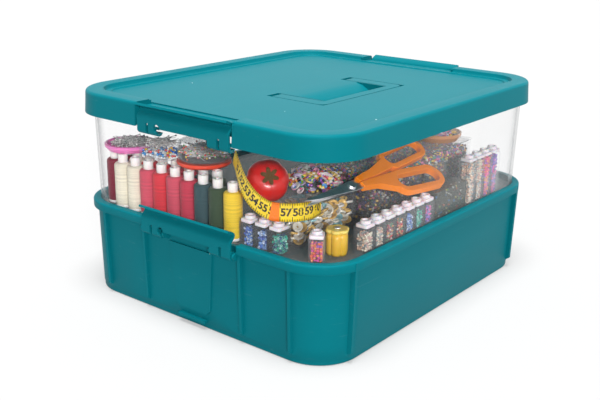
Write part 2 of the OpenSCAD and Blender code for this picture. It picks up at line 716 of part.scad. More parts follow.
// Small bead boxes: [x, y, width, turn, index of the filling]
vial_y = front + vial_d / 2 + 1.3;
vial_pitch = (2 * inner_x - 117.4) / 14;
vial_w = vial_pitch - 0.8;
vial_x0 = left + 59.5;
corner_c = [left + tray_r - tray_wall, front + tray_r - tray_wall];
corner_reach = tray_r - tray_wall - vial_d / 2 - 2.5;
front_vials = [for (i = [0:6]) [vial_x0 + i * vial_pitch, vial_y, vial_w, 0, [0, 0, 3, 3, 1, 2, 4][i]]];
right_vials = [for (i = [0:3]) [vial_x0 + (i + 11) * vial_pitch, vial_y, vial_w, 0, [6, 6, 5, 4][i]]];
end_vial_x = left + vial_d / 2 + 1.3;
end_vials = [for (i = [0:2]) [end_vial_x, front + 87.5 - i * vial_pitch, vial_w, 90, [1, 1, 2][i]]];
corner_a = 212;
corner_vial = [corner_c[0] + corner_reach * cos(corner_a), corner_c[1] + corner_reach * sin(corner_a),
               vial_w - 2, corner_a + 90, 5];
vials = concat(front_vials, right_vials, end_vials, [corner_vial]);
vial_cap_h = 6;

module at_vial(v) {
  translate([v[0], v[1], floor_z]) rotate(v[3]) children();
}
module vial_tubes() {
  color(clear) for (v = vials) at_vial(v) difference() {
    translate([-v[2] / 2, -vial_d / 2, 0]) cube([v[2], vial_d, vial_h - vial_cap_h]);
    translate([-v[2] / 2 + vial_wall, -vial_d / 2 + vial_wall, vial_wall])
      cube([v[2] - 2 * vial_wall, vial_d - 2 * vial_wall, vial_h]);
  }
}
module vial_caps() {
  color(white) for (v = vials) at_vial(v) {
    translate([-v[2] / 2, -vial_d / 2, vial_h - vial_cap_h]) cube([v[2], vial_d, 3]);
    translate([-v[2] / 2 + 1.5, -vial_d / 2 + 1.5, vial_h - 3 - eps]) cube([v[2] - 3, vial_d - 3, 3 + eps]);
  }
}
module beads(kind) {
  gap = 0.15;
  for (v = vials) if (v[4] == kind) at_vial(v)
    translate([-v[2] / 2 + vial_wall + gap, -vial_d / 2 + vial_wall + gap, vial_wall])
      cube([v[2] - 2 * (vial_wall + gap), vial_d - 2 * (vial_wall + gap), vial_h - vial_cap_h - 4]);
}
module beads_cream() { color([0.85, 0.8, 0.75]) { beads(0); beads(6); } }
module beads_blue() { color([0.35, 0.5, 0.75]) beads(1); }
module beads_teal() { color([0.15, 0.55, 0.6]) beads(2); }
module beads_red() { color([0.6, 0.15, 0.2]) beads(3); }
module beads_purple() { color([0.45, 0.25, 0.5]) beads(4); }
module beads_orange() { color([0.9, 0.4, 0.15]) beads(5); }

// Yellow box with scalloped sides, in the front corner
flower_at = [left + 39.5, front + 21.5];
flower_r = 9;
flower_h = 22;
module flower(r) {
  for (i = [0:5]) rotate(i * 60) translate([r * 0.62, 0]) circle(r * 0.42, $fn = 48);
  circle(r * 0.7, $fn = 48);
}
module flower_box() {
  color([0.9, 0.75, 0.2]) translate([flower_at[0], flower_at[1], floor_z])
    linear_extrude(flower_h - 3) flower(flower_r);
}
module flower_box_lid() {
  color([0.95, 0.85, 0.45]) translate([flower_at[0], flower_at[1], floor_z + flower_h - 3])
    linear_extrude(3) flower(flower_r + 0.6);
}

// Heap of beads and sequins on the flat box
heap_at = [left + 76.5, front + 76.5];
heap_r = 26;
heap_h = 19;
module bead_heap() {
  dome = [for (i = [0:7]) let (a = i * 90 / 8) [heap_r * cos(a), heap_h * sin(a)]];
  color([0.75, 0.6, 0.75]) translate([heap_at[0], heap_at[1], shelf_z]) rotate_extrude($fn = 48)
    polygon(concat([[0, 0]], dome, [[0, heap_h]]));
}

// Deep clear bin of loose beads behind the scissors, and the smoked box in the front row
bin_x0 = left + 114.5;
bin_x1 = inner_x - 42.5;
bin_y0 = front + 39.5;
bin_y1 = front + 103.5;
bin_h = 46;
bin_lid_t = 2;
module bead_bin() {
  w = 1.6;
  color(clear) translate([bin_x0, bin_y0, floor_z]) difference() {
    cube([bin_x1 - bin_x0, bin_y1 - bin_y0, bin_h]);
    translate([w, w, w]) cube([bin_x1 - bin_x0 - 2 * w, bin_y1 - bin_y0 - 2 * w, bin_h]);
  }
}
module bin_lid() {
  over = 0.6;
  color(clear) translate([bin_x0 - over, bin_y0 - over, floor_z + bin_h])
    cube([bin_x1 - bin_x0 + 2 * over, bin_y1 - bin_y0 + 2 * over, bin_lid_t]);
}
module bin_beads() {
  g = 1.8;
  color([0.5, 0.5, 0.7]) translate([bin_x0 + g, bin_y0 + g, floor_z + 1.6])
    cube([bin_x1 - bin_x0 - 2 * g, bin_y1 - bin_y0 - 2 * g, bin_h - 5]);
}
module dark_bead_box() {
  x0 = vial_x0 + 6.6 * vial_pitch;
  color([0.25, 0.25, 0.27, 0.7]) translate([x0, front + 1.5, floor_z]) cube([3.6 * vial_pitch, 20, vial_h]);
}

// Shallow orange dish of beads on the bin
odish_at = [bin_x1 - 27, bin_y0 + 24];
odish_r = 24;
odish_z = floor_z + bin_h + bin_lid_t;
module orange_dish() {
  color([0.95, 0.5, 0.25, 0.7]) translate([odish_at[0], odish_at[1], odish_z]) rotate_extrude($fn = 64)
    polygon([[0, 0], [odish_r - 4, 0], [odish_r, 5], [odish_r, 8], [odish_r - 1.4, 8], [odish_r - 4.6, 1.6],
             [0, 1.6]]);
}
module dish_beads() {
  color([0.75, 0.6, 0.5]) translate([odish_at[0], odish_at[1], odish_z + 1.6]) rotate_extrude($fn = 48)
    polygon([[0, 0], [odish_r - 5.4, 0], [odish_r - 4.8, 1.6], [odish_r - 9, 5], [0, 8]]);
}

base_box();
clear_tray();
lid();
carry_handle();
base_latch_left();
base_latch_right();
lid_latch_left();
lid_latch_right();
spool_bobbins();
thread_maroon();
thread_cream();
thread_red();
thread_pink();
thread_rose();
thread_slate();
thread_olive();
thread_yellow();
pin_dish();
dish_pins();
pin_box();
pin_box_base();
box_pins();
tomato_cushion();
tomato_leaf();
tape_measure();
scissors_near_grip();
scissors_near_blade();
scissors_far_grip();
scissors_far_blade();
scissors_screw();
vial_tubes();
vial_caps();
beads_blue();
beads_teal();
beads_red();
beads_orange();
beads_purple();
beads_cream();
flower_box();
flower_box_lid();
button_box();
button_box_lid();
box_buttons();
bead_heap();
bead_bin();
bin_beads();
bin_lid();
dark_bead_box();
orange_dish();
dish_beads();
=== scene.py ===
"""Looks for the thread spool storage box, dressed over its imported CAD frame.

Sizes are millimetres, in the frame's own axes, and MM turns them into metres.
"""

import logging
import math
from collections import defaultdict
from dataclasses import dataclass, field
from enum import Enum
from typing import Iterable, Sequence

import bpy
import numpy as np
from mathutils import Matrix, Vector


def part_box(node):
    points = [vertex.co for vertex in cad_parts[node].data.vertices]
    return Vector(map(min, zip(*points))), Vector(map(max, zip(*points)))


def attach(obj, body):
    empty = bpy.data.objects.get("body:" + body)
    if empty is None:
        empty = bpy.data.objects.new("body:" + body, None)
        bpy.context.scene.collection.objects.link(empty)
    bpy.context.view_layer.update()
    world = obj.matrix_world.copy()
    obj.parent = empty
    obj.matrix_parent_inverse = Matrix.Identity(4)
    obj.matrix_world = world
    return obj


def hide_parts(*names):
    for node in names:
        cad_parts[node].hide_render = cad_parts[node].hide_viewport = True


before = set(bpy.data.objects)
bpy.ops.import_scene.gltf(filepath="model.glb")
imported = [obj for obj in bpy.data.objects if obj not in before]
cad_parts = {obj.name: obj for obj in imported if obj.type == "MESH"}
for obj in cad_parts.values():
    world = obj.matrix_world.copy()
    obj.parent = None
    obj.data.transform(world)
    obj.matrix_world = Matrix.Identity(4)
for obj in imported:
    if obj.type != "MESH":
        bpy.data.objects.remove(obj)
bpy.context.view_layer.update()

log = logging.getLogger("thread_box")
MM = 0.001
Colour = tuple[float, float, float]
Shape = tuple[np.ndarray, list[tuple[int, ...]]]


def srgb(red: int, green: int, blue: int) -> Colour:
    """Turns an 8-bit screen colour into linear values.

    Args:
        red: Red, 0 to 255.
        green: Green, 0 to 255.
        blue: Blue, 0 to 255.

    Returns:
        The linear colour.
    """
    return tuple(
        c / 12.92 if c <= 0.04045 else ((c + 0.055) / 1.055) ** 2.4
        for c in (red / 255, green / 255, blue / 255)
    )


class Graph:
    """Adds nodes to one node tree and joins them."""

    def __init__(self, tree: bpy.types.NodeTree) -> None:
        """Keeps the tree that nodes are added to."""
        self.tree = tree

    def set(self, node: bpy.types.Node, key: str | int, value: object) -> None:
        """Links a socket to an input, or sets the input's own value.

        Args:
            node: The node that owns the input.
            key: Name or number of the input.
            value: An output socket, a number or a colour.
        """
        socket = node.inputs[key]
        if isinstance(value, bpy.types.NodeSocket):
            self.tree.links.new(value, socket)
        elif isinstance(value, tuple) and len(value) == 3 and socket.type == "RGBA":
            socket.default_value = (*value, 1.0)
        else:
            socket.default_value = value

    def add(self, kind: str, inputs: dict | None = None, **settings: object) -> bpy.types.Node:
        """Adds one node.

        Args:
            kind: Blender's name of the node type, without ShaderNode.
            inputs: Values or sockets for its inputs.
            **settings: Properties of the node.

        Returns:
            The new node.
        """
        node = self.tree.nodes.new("ShaderNode" + kind)
        for name, value in settings.items():
            setattr(node, name, value)
        for key, value in (inputs or {}).items():
            self.set(node, key, value)
        return node

    def maths(self, operation: str, a: object, b: object = 0.0) -> bpy.types.NodeSocket:
        """Adds a Math node on two values and returns its result."""
        return self.add("Math", {0: a, 1: b}, operation=operation).outputs[0]

    def times(self, a: object, b: object) -> bpy.types.NodeSocket:
        """Multiplies two values."""
        return self.maths("MULTIPLY", a, b)

    def plus(self, a: object, b: object) -> bpy.types.NodeSocket:
        """Adds two values."""
        return self.maths("ADD", a, b)

    def mix(self, mask: object, a: object, b: object) -> bpy.types.NodeSocket:
        """Adds a colour mix from a to b by a mask and returns its result."""
        node = self.add("Mix", data_type="RGBA")
        for key, value in ((0, mask), (6, a), (7, b)):
            self.set(node, key, value)
        return node.outputs[2]

    def ramp(self, value: object, low: float, high: float) -> bpy.types.NodeSocket:
        """Maps a value from low..high to 0..1, clamped, and returns the result."""
        node = self.add("MapRange", {"Value": value, "From Min": low, "From Max": high})
        return node.outputs[0]


class Effects:
    """The shared node groups, each built once."""

    def __init__(self) -> None:
        """Builds every group."""
        self.skin = self._skin()
        self.specks = self._specks()
        self.fibre = self._fibre()
        self.brushed = self._brushed()
        self.cloudy = self._cloudy()

    @staticmethod
    def _begin(
        name: str, inputs: dict[str, object], outputs: dict[str, str]
    ) -> tuple[Graph, bpy.types.Node, bpy.types.Node]:
        """Starts a group with named sockets.

        Args:
            name: Name of the group.
            inputs: Default of each input; a tuple makes a colour socket.
            outputs: Socket type of each output.

        Returns:
            The graph, the group's input node and its output node.
        """
        tree = bpy.data.node_groups.new(name, "ShaderNodeTree")
        for key, value in inputs.items():
            kind = "NodeSocketColor" if isinstance(value, tuple) else "NodeSocketFloat"
            made = tree.interface.new_socket(key, in_out="INPUT", socket_type=kind)
            made.default_value = (*value, 1.0) if isinstance(value, tuple) else value
        for key, kind in outputs.items():
            tree.interface.new_socket(key, in_out="OUTPUT", socket_type=kind)
        graph = Graph(tree)
        return graph, tree.nodes.new("NodeGroupInput"), tree.nodes.new("NodeGroupOutput")

    def _skin(self) -> bpy.types.NodeTree:
        """Moulded skin: fine grain, slow mottling and long faint rubs."""
        graph, given, made = self._begin(
            "moulded_skin",
            {"Colour": (0.5, 0.5, 0.5), "Roughness": 0.4, "Grain": 1.0, "Mottle": 0.1, "Rubs": 0.2},
            {
                "Colour": "NodeSocketColor", "Roughness": "NodeSocketFloat",
                "Height": "NodeSocketFloat"
            },
        )
        place = graph.add("TexCoord").outputs["Object"]
        fine = graph.add("TexNoise", {"Vector": place, "Scale": 1500.0, "Detail": 3.0})
        slow = graph.add(
            "TexNoise", {"Vector": place, "Scale": 11.0, "Detail": 4.0, "Roughness": 0.6}
        )
        long = graph.add("Mapping", {"Vector": place, "Scale": (14.0, 90.0, 420.0)})
        long.inputs["Rotation"].default_value = (0.35, 0.25, 0.5)
        rub = graph.add("TexNoise", {"Vector": long.outputs[0], "Scale": 1.0, "Detail": 5.0})
        rubbed = graph.times(graph.ramp(rub.outputs[0], 0.64, 0.8), given.outputs["Rubs"])
        shade = graph.times(graph.maths("SUBTRACT", slow.outputs[0], 0.5), given.outputs["Mottle"])
        value = graph.plus(graph.times(shade, 2.0), 1.0)
        tint = graph.add(
            "HueSaturation", {"Color": given.outputs["Colour"], "Value": value, "Saturation": 1.0}
        )
        pale = graph.mix(graph.times(rubbed, 0.3), tint.outputs[0], (0.6, 0.75, 0.75))
        rough = graph.plus(given.outputs["Roughness"], graph.times(rubbed, 0.25))
        height = graph.times(fine.outputs[0], given.outputs["Grain"])
        for key, value in (("Colour", pale), ("Roughness", rough), ("Height", height)):
            graph.set(made, key, value)
        return graph.tree

    def _specks(self) -> bpy.types.NodeTree:
        """Dust: small round specks thinly spread over a surface."""
        graph, given, made = self._begin(
            "dust_specks", {"Scale": 60.0, "Size": 0.05, "Share": 0.2}, {"Mask": "NodeSocketFloat"}
        )
        place = graph.add("TexCoord").outputs["Object"]
        cell = graph.add("TexVoronoi", {"Vector": place, "Scale": given.outputs["Scale"]})
        near = graph.maths("LESS_THAN", cell.outputs["Distance"], given.outputs["Size"])
        pick = graph.add("SeparateColor", {0: cell.outputs["Color"]})
        some = graph.maths("LESS_THAN", pick.outputs[0], given.outputs["Share"])
        graph.set(made, "Mask", graph.times(near, some))
        return graph.tree

    def _fibre(self) -> bpy.types.NodeTree:
        """Wound thread: slanting strands with loose fibre, from the winding's UV, with painted
        shade in the grooves between strands.
        """
        graph, given, made = self._begin(
            "thread_fibre",
            {"Colour": (0.5, 0.1, 0.1), "Turns": 60.0, "Depth": 1.0},
            {"Colour": "NodeSocketColor", "Height": "NodeSocketFloat"},
        )
        uv = graph.add("TexCoord").outputs["UV"]
        split = graph.add("SeparateXYZ", {0: uv})
        turn = graph.times(split.outputs[1], given.outputs["Turns"])
        slant = graph.plus(turn, graph.times(split.outputs[0], 2.0))
        wave = graph.maths("ABSOLUTE", graph.maths("SINE", graph.times(slant, math.pi)))
        fuzz = graph.add("TexNoise", {"Vector": uv, "Scale": 90.0, "Detail": 4.0})
        bands = graph.add(
            "TexNoise", {"W": turn, "Scale": 0.35, "Detail": 2.0}, noise_dimensions="1D"
        )
        depth = graph.plus(graph.times(wave, 0.7), graph.times(fuzz.outputs[0], 0.5))
        light = graph.plus(graph.times(graph.ramp(bands.outputs[0], 0.3, 0.7), 0.22), 0.82)
        # Painted shade: strand crests are lightened and the grooves between strands stay darker.
        light = graph.plus(light, graph.times(wave, 0.12))
        tint = graph.add("HueSaturation", {"Color": given.outputs["Colour"], "Value": light})
        graph.set(made, "Colour", tint.outputs[0])
        graph.set(made, "Height", graph.times(depth, given.outputs["Depth"]))
        return graph.tree

    def _brushed(self) -> bpy.types.NodeTree:
        """Ground steel: fine lines across the blade."""
        graph, given, made = self._begin(
            "ground_lines",
            {"Roughness": 0.25, "Across": 1800.0},
            {"Roughness": "NodeSocketFloat", "Height": "NodeSocketFloat"},
        )
        place = graph.add("TexCoord").outputs["Object"]
        stretch = graph.add("Mapping", {"Vector": place})
        stretch.inputs["Scale"].default_value = (1.0, 0.06, 0.06)
        line = graph.add(
            "TexNoise",
            {"Vector": stretch.outputs[0], "Scale": given.outputs["Across"], "Detail": 2.0}
        )
        spread = graph.times(line.outputs[0], 0.2)
        graph.set(made, "Roughness", graph.plus(given.outputs["Roughness"], spread))
        graph.set(made, "Height", line.outputs[0])
        return graph.tree

    def _cloudy(self) -> bpy.types.NodeTree:
        """Handled clear plastic: smears and hairline scratches."""
        graph, given, made = self._begin(
            "handled_clear", {"Smears": 0.5, "Scratches": 0.5},
            {"Mask": "NodeSocketFloat", "Height": "NodeSocketFloat"}
        )
        place = graph.add("TexCoord").outputs["Object"]
        smear = graph.add(
            "TexNoise", {"Vector": place, "Scale": 26.0, "Detail": 5.0, "Distortion": 1.5}
        )
        lines = graph.add("Mapping", {"Vector": place})
        lines.inputs["Rotation"].default_value = (0.4, 0.7, 0.2)
        lines.inputs["Scale"].default_value = (30.0, 900.0, 30.0)
        hair = graph.add("TexNoise", {"Vector": lines.outputs[0], "Scale": 1.0, "Detail": 3.0})
        cut = graph.times(graph.ramp(hair.outputs[0], 0.68, 0.74), given.outputs["Scratches"])
        haze = graph.times(graph.ramp(smear.outputs[0], 0.45, 0.75), given.outputs["Smears"])
        graph.set(made, "Mask", graph.maths("MAXIMUM", cut, haze))
        graph.set(made, "Height", graph.plus(cut, smear.outputs[0]))
        return graph.tree


effects = Effects()


@dataclass(frozen=True)
class Finish:
    """What every finish has: a name, a colour and how rough it is."""

    name: str
    colour: Colour
    roughness: float = 0.4

    def start(self) -> tuple[Graph, bpy.types.Node]:
        """Makes the material with its Principled shader.

        Returns:
            The material's graph and its Principled node.
        """
        material = bpy.data.materials.new(self.name)
        material.use_nodes = True
        graph = Graph(material.node_tree)
        shader = material.node_tree.nodes["Principled BSDF"]
        graph.set(shader, "Base Color", self.colour)
        graph.set(shader, "Roughness", self.roughness)
        return graph, shader

    def group(self, graph: Graph, tree: bpy.types.NodeTree, inputs: dict) -> bpy.types.Node:
        """Places a shared group in the material with its own values."""
        node = graph.tree.nodes.new("ShaderNodeGroup")
        node.node_tree = tree
        for key, value in inputs.items():
            graph.set(node, key, value)
        return node

    def relief(self, graph: Graph, shader: bpy.types.Node, height: object, depth: float) -> None:
        """Feeds a height into the shader's normal, depth in millimetres."""
        bump = graph.add("Bump", {"Height": height, "Distance": depth * MM, "Strength": 1.0})
        graph.set(shader, "Normal", bump.outputs[0])

    def material(self) -> bpy.types.Material:
        """Returns the material, built the first time it is asked for."""
        if self.name not in bpy.data.materials:
            self.build()
        return bpy.data.materials[self.name]

    def build(self) -> None:
        """Builds the plain material."""
        self.start()


@dataclass(frozen=True)
class MouldedPlastic(Finish):
    """Opaque moulded plastic with a light grain and signs of handling."""

    grain: float = 0.02
    mottle: float = 0.05
    rubs: float = 0.2
    specular: float = 0.4
    specular_tint: Colour = (1.0, 1.0, 1.0)
    dust: float = 0.0
    glow: float = 0.0

    def build(self) -> None:
        """Builds the plastic from the skin and speck groups."""
        graph, shader = self.start()
        skin = self.group(
            graph,
            effects.skin,
            {
                "Colour": self.colour, "Roughness": self.roughness, "Grain": 1.0,
                "Mottle": self.mottle, "Rubs": self.rubs
            },
        )
        colour = skin.outputs["Colour"]
        if self.dust:
            speck = self.group(
                graph, effects.specks, {"Scale": 75.0, "Size": 0.055, "Share": self.dust}
            )
            colour = graph.mix(speck.outputs[0], colour, (0.75, 0.9, 0.9))
        graph.set(shader, "Base Color", colour)
        graph.set(shader, "Roughness", skin.outputs["Roughness"])
        graph.set(shader, "Specular IOR Level", self.specular)
        graph.set(shader, "Specular Tint", self.specular_tint)
        graph.set(shader, "Subsurface Weight", self.glow)
        if self.glow:
            graph.set(shader, "Subsurface Scale", 2 * MM)
        self.relief(graph, shader, skin.outputs["Height"], self.grain)


@dataclass(frozen=True)
class ClearPlastic(Finish):
    """Clear or tinted plastic: nearly unseen face on, and more opaque where the eye grazes it, a
    painted sheen in place of its grazing reflection.
    """

    face: float = 0.02
    edge: float = 0.5
    smears: float = 0.3
    scratches: float = 0.5
    marked: float = 0.05
    clear_to: float = 0.42

    def build(self) -> None:
        """Builds the plastic, with its alpha from the angle and the handling marks."""
        graph, shader = self.start()
        marks = self.group(
            graph, effects.cloudy, {"Smears": self.smears, "Scratches": self.scratches}
        )
        # Painted sheen: the alpha rises towards grazing angles, so the lit body colour shows there
        # in place of the plastic's reflection.
        angle = graph.add("LayerWeight", {"Blend": 0.5})
        grazing_sheen = graph.maths("POWER", graph.ramp(angle.outputs["Facing"], self.clear_to, 1.0), 1.5)
        grown = graph.times(grazing_sheen, self.edge - self.face)
        clear = graph.plus(
            graph.plus(grown, self.face), graph.times(marks.outputs["Mask"], self.marked)
        )
        path = graph.add("LightPath")
        unshaded = graph.maths("SUBTRACT", 1.0, graph.times(path.outputs["Is Shadow Ray"], 0.75))
        graph.set(shader, "Alpha", graph.times(clear, unshaded))
        self.relief(graph, shader, marks.outputs["Height"], 0.02)


@dataclass(frozen=True)
class WoundThread(Finish):
    """Sewing thread wound on a spool."""

    turns: float = 64.0

    def build(self) -> None:
        """Builds the thread with a soft sheen."""
        graph, shader = self.start()
        fibre = self.group(graph, effects.fibre, {"Colour": self.colour, "Turns": self.turns})
        graph.set(shader, "Base Color", fibre.outputs["Colour"])
        graph.set(shader, "Sheen Weight", 0.15)
        graph.set(shader, "Sheen Roughness", 0.4)
        graph.set(shader, "Specular IOR Level", 0.3)
        self.relief(graph, shader, fibre.outputs["Height"], 0.25)


@dataclass(frozen=True)
class GlassBead(Finish):
    """Beads, buttons and pin heads, each with its own colour from the mesh."""

    metallic: float = 0.0
    coat: float = 0.8

    def build(self) -> None:
        """Builds the bead finish on the mesh's bead_tint attribute."""
        graph, shader = self.start()
        tint = graph.add("Attribute", attribute_name="bead_tint")
        graph.set(shader, "Base Color", tint.outputs["Color"])
        graph.set(shader, "Metallic", self.metallic)
        graph.set(shader, "Coat Weight", self.coat)
        graph.set(shader, "Coat Roughness", 0.08)


@dataclass(frozen=True)
class GroundSteel(Finish):
    """Ground and polished steel."""

    def build(self) -> None:
        """Builds the steel from the ground lines group."""
        graph, shader = self.start()
        lines = self.group(graph, effects.brushed, {"Roughness": self.roughness})
        graph.set(shader, "Metallic", 1.0)
        graph.set(shader, "Roughness", lines.outputs["Roughness"])
        self.relief(graph, shader, lines.outputs["Height"], 0.015)


@dataclass(frozen=True)
class SatinCloth(Finish):
    """Tight glossy cloth of the pincushion."""

    def build(self) -> None:
        """Builds the cloth with a fine weave and a soft gloss."""
        graph, shader = self.start()
        place = graph.add("TexCoord").outputs["Object"]
        weave = graph.add("TexVoronoi", {"Vector": place, "Scale": 1400.0})
        slow = graph.add("TexNoise", {"Vector": place, "Scale": 70.0, "Detail": 3.0})
        dark = tuple(0.72 * c for c in self.colour)
        graph.set(
            shader, "Base Color",
            graph.mix(graph.ramp(slow.outputs[0], 0.35, 0.7), dark, self.colour)
        )
        graph.set(shader, "Coat Weight", 0.35)
        graph.set(shader, "Coat Roughness", 0.16)
        self.relief(graph, shader, weave.outputs["Distance"], 0.06)


@dataclass(frozen=True)
class PrintedTape(Finish):
    """Coated tape with ticks printed along both edges, read from the ribbon's UV in millimetres."""

    ink: Colour = (0.02, 0.015, 0.01)
    width: float = 15.5

    def build(self) -> None:
        """Builds the tape with one tick every two millimetres, longer at ten."""
        graph, shader = self.start()
        split = graph.add("SeparateXYZ", {0: graph.add("TexCoord").outputs["UV"]})
        along, across = split.outputs[0], split.outputs[1]
        edge = graph.maths("MINIMUM", across, graph.maths("SUBTRACT", self.width, across))
        marks = 0.0
        for step, reach, thick in ((2.0, 2.0, 0.45), (10.0, 4.2, 0.6)):
            phase = graph.maths("WRAP", along, 0.0)
            phase.node.inputs[2].default_value = step
            line = graph.maths("LESS_THAN", phase, thick)
            short = graph.maths("LESS_THAN", edge, reach)
            marks = graph.maths("MAXIMUM", marks, graph.times(line, short))
        wear = graph.add(
            "TexNoise", {"Vector": graph.add("TexCoord").outputs["Object"], "Scale": 90.0}
        )
        worn = graph.mix(
            graph.ramp(wear.outputs[0], 0.4, 0.75), self.colour, tuple(0.8 * c for c in self.colour)
        )
        graph.set(shader, "Base Color", graph.mix(marks, worn, self.ink))
        graph.set(shader, "Coat Weight", 0.3)
        self.relief(graph, shader, wear.outputs[0], 0.05)


TEAL = MouldedPlastic(
    "teal_moulding", srgb(6, 108, 118), 0.42, 0.03, 0.05, 0.1, 0.05, (0.4, 0.95, 1.0), 0.05
)
CLEAR = ClearPlastic("clear_moulding", (0.58, 0.6, 0.61), 0.1, 0.01, 0.7, 0.3, 0.6, 0.03)
BOX_CLEAR = ClearPlastic("clear_small_box", (0.8, 0.84, 0.88), 0.12, 0.04, 0.65, 0.2, 0.3, 0.05)
SMOKED = ClearPlastic("smoked_box", srgb(66, 72, 64), 0.15, 0.58, 0.85, 0.2, 0.1, 0.1)
ORANGE_CLEAR = ClearPlastic("orange_clear", srgb(240, 130, 60), 0.15, 0.4, 0.8, 0.1, 0.1)
WHITE = MouldedPlastic("white_caps", srgb(244, 240, 238), 0.35, 0.02, 0.03, 0.05, 0.4, glow=0.1)
CAP = MouldedPlastic("push_cap_plastic", srgb(232, 224, 230), 0.3, 0.02, 0.03, 0.05, 0.5, glow=0.3)
PINK = MouldedPlastic("pink_dish", srgb(238, 130, 196), 0.3, 0.02, 0.04, 0.1, 0.5, glow=0.15)
PIN_BASE = MouldedPlastic("pin_box_base", srgb(236, 72, 44), 0.3, 0.02, 0.04, 0.1, 0.5)
YELLOW_BOX = MouldedPlastic(
    "yellow_flower_box", srgb(236, 190, 60), 0.3, 0.02, 0.1, 0.1, 0.5, glow=0.2
)
YELLOW_LID = MouldedPlastic(
    "yellow_flower_lid", srgb(246, 216, 110), 0.25, 0.02, 0.05, 0.1, 0.5, glow=0.2
)
ORANGE_GRIP = MouldedPlastic("orange_grips", srgb(255, 138, 0), 0.3, 0.03, 0.06, 0.05, 0.15)
STEEL = GroundSteel("ground_blades", (0.8, 0.8, 0.82), 0.22)
PIN_STEEL = MouldedPlastic("pin_steel", (0.62, 0.6, 0.6), 0.25, 0.02, 0.3, 0.0, 0.9)
BEADS = GlassBead("glass_beads", (0.5, 0.5, 0.5), 0.18)
BUTTONS = GlassBead("shiny_buttons", (0.5, 0.5, 0.5), 0.25, 0.1, 0.5)
TOMATO = SatinCloth("tomato_satin", srgb(232, 24, 20), 0.32)
LEAF = MouldedPlastic("leaf_felt", srgb(96, 70, 34), 0.8, 0.3, 0.3, 0.1, 0.2)
TAPE = PrintedTape("printed_tape", srgb(255, 220, 30), 0.35)
INK = Finish("tape_ink", (0.02, 0.015, 0.01), 0.5)
TIP = MouldedPlastic("orange_tip", srgb(255, 128, 20), 0.3, 0.02, 0.05, 0.1, 0.5)

THREADS = {
    "maroon": (126, 34, 54),
    "cream": (240, 232, 212),
    "red": (226, 62, 74),
    "pink": (214, 84, 104),
    "rose": (204, 62, 84),
    "slate": (58, 84, 90),
    "olive": (58, 78, 56),
    "yellow": (250, 212, 60),
}


class Palette(Enum):
    """Bead colours that are mixed in one container."""

    BLUE = ((70, 120, 206), (120, 160, 222), (50, 84, 176), (190, 206, 236))
    TEAL = ((0, 140, 136), (20, 180, 150), (10, 84, 130), (150, 220, 206))
    RED = (
        (186, 20, 60), (220, 60, 60), (120, 20, 50), (220, 150, 90), (240, 220, 210), (90, 130, 90)
    )
    ORANGE = ((250, 100, 40), (255, 150, 90), (240, 60, 130), (150, 60, 180), (220, 60, 160))
    PURPLE = ((104, 60, 180), (150, 96, 210), (236, 80, 170), (80, 60, 150))
    CREAM = ((236, 226, 204), (226, 206, 186), (236, 190, 160), (214, 170, 160), (160, 170, 170))
    MIXED = (
        (206, 40, 50), (250, 170, 40), (60, 110, 200), (40, 150, 120), (160, 80, 190),
        (240, 236, 226),
        (30, 30, 50), (240, 120, 170), (255, 220, 80), (110, 40, 40), (50, 40, 40),
    )
    # Darker copies of the mixed colours: painted shade for the beads deep in the bin.
    MIXED_IN_PAINTED_SHADE = (
        (96, 30, 40), (150, 96, 40), (40, 60, 110), (30, 80, 66), (84, 50, 100), (190, 186, 180),
        (24, 24, 34), (180, 90, 120), (210, 170, 70), (60, 30, 30), (40, 36, 36), (50, 60, 60),
    )
    DARK = ((50, 56, 56), (70, 74, 70), (60, 60, 66))
    BRIGHT = (
        (250, 100, 40), (255, 220, 80), (70, 150, 230), (250, 250, 246), (230, 50, 90),
        (150, 220, 50)
    )
    BUTTON = (
        (244, 206, 110), (252, 250, 244), (236, 190, 96), (250, 244, 226), (150, 206, 214),
        (250, 246, 240)
    )
    HEAD = (
        (230, 60, 50), (250, 200, 60), (250, 245, 235), (240, 150, 160), (240, 120, 90),
        (120, 180, 90)
    )
    PEARL = ((250, 246, 240), (236, 220, 224), (240, 160, 190), (236, 200, 120), (200, 180, 220))
    NOTION = (
        (40, 110, 210), (250, 200, 40), (230, 236, 240), (60, 150, 220), (230, 60, 60),
        (200, 204, 210)
    )
    PIN = ((214, 210, 206), (190, 186, 184), (236, 232, 228))


def bands(rows: int, around: int, start: int = 0) -> list[tuple[int, ...]]:
    """Returns the faces between closed rows of points, such as the rings of a turned piece.

    Args:
        rows: Number of bands.
        around: Points in a row.
        start: Number of the first point.

    Returns:
        The faces, row by row.
    """
    return [
        (a + i, a + (i + 1) % around, a + around + (i + 1) % around, a + around + i)
        for a in range(start, start + rows * around, around)
        for i in range(around)
    ]


def lathe(profile: Sequence[tuple[float, float]], around: int) -> Shape:
    """Turns a profile of radius and height round the Z axis.

    Args:
        profile: Points from bottom to top; a radius of zero closes an end.
        around: Number of steps round the axis.

    Returns:
        The vertices and faces.
    """
    angles = np.linspace(0, 2 * math.pi, around, endpoint=False)
    ring = np.stack([np.cos(angles), np.sin(angles)], 1)
    verts = np.concatenate([np.column_stack([ring * r, np.full(around, z)]) for r, z in profile])
    return verts, bands(len(profile) - 1, around)


def closed_ring(section: Sequence[tuple[float, float]], around: int) -> Shape:
    """Turns a closed section round the Z axis, such as a bead with a hole."""
    verts, faces = lathe([*section, section[0]], around)
    count = len(section) * around
    return verts[:count], [tuple(i % count for i in face) for face in faces]


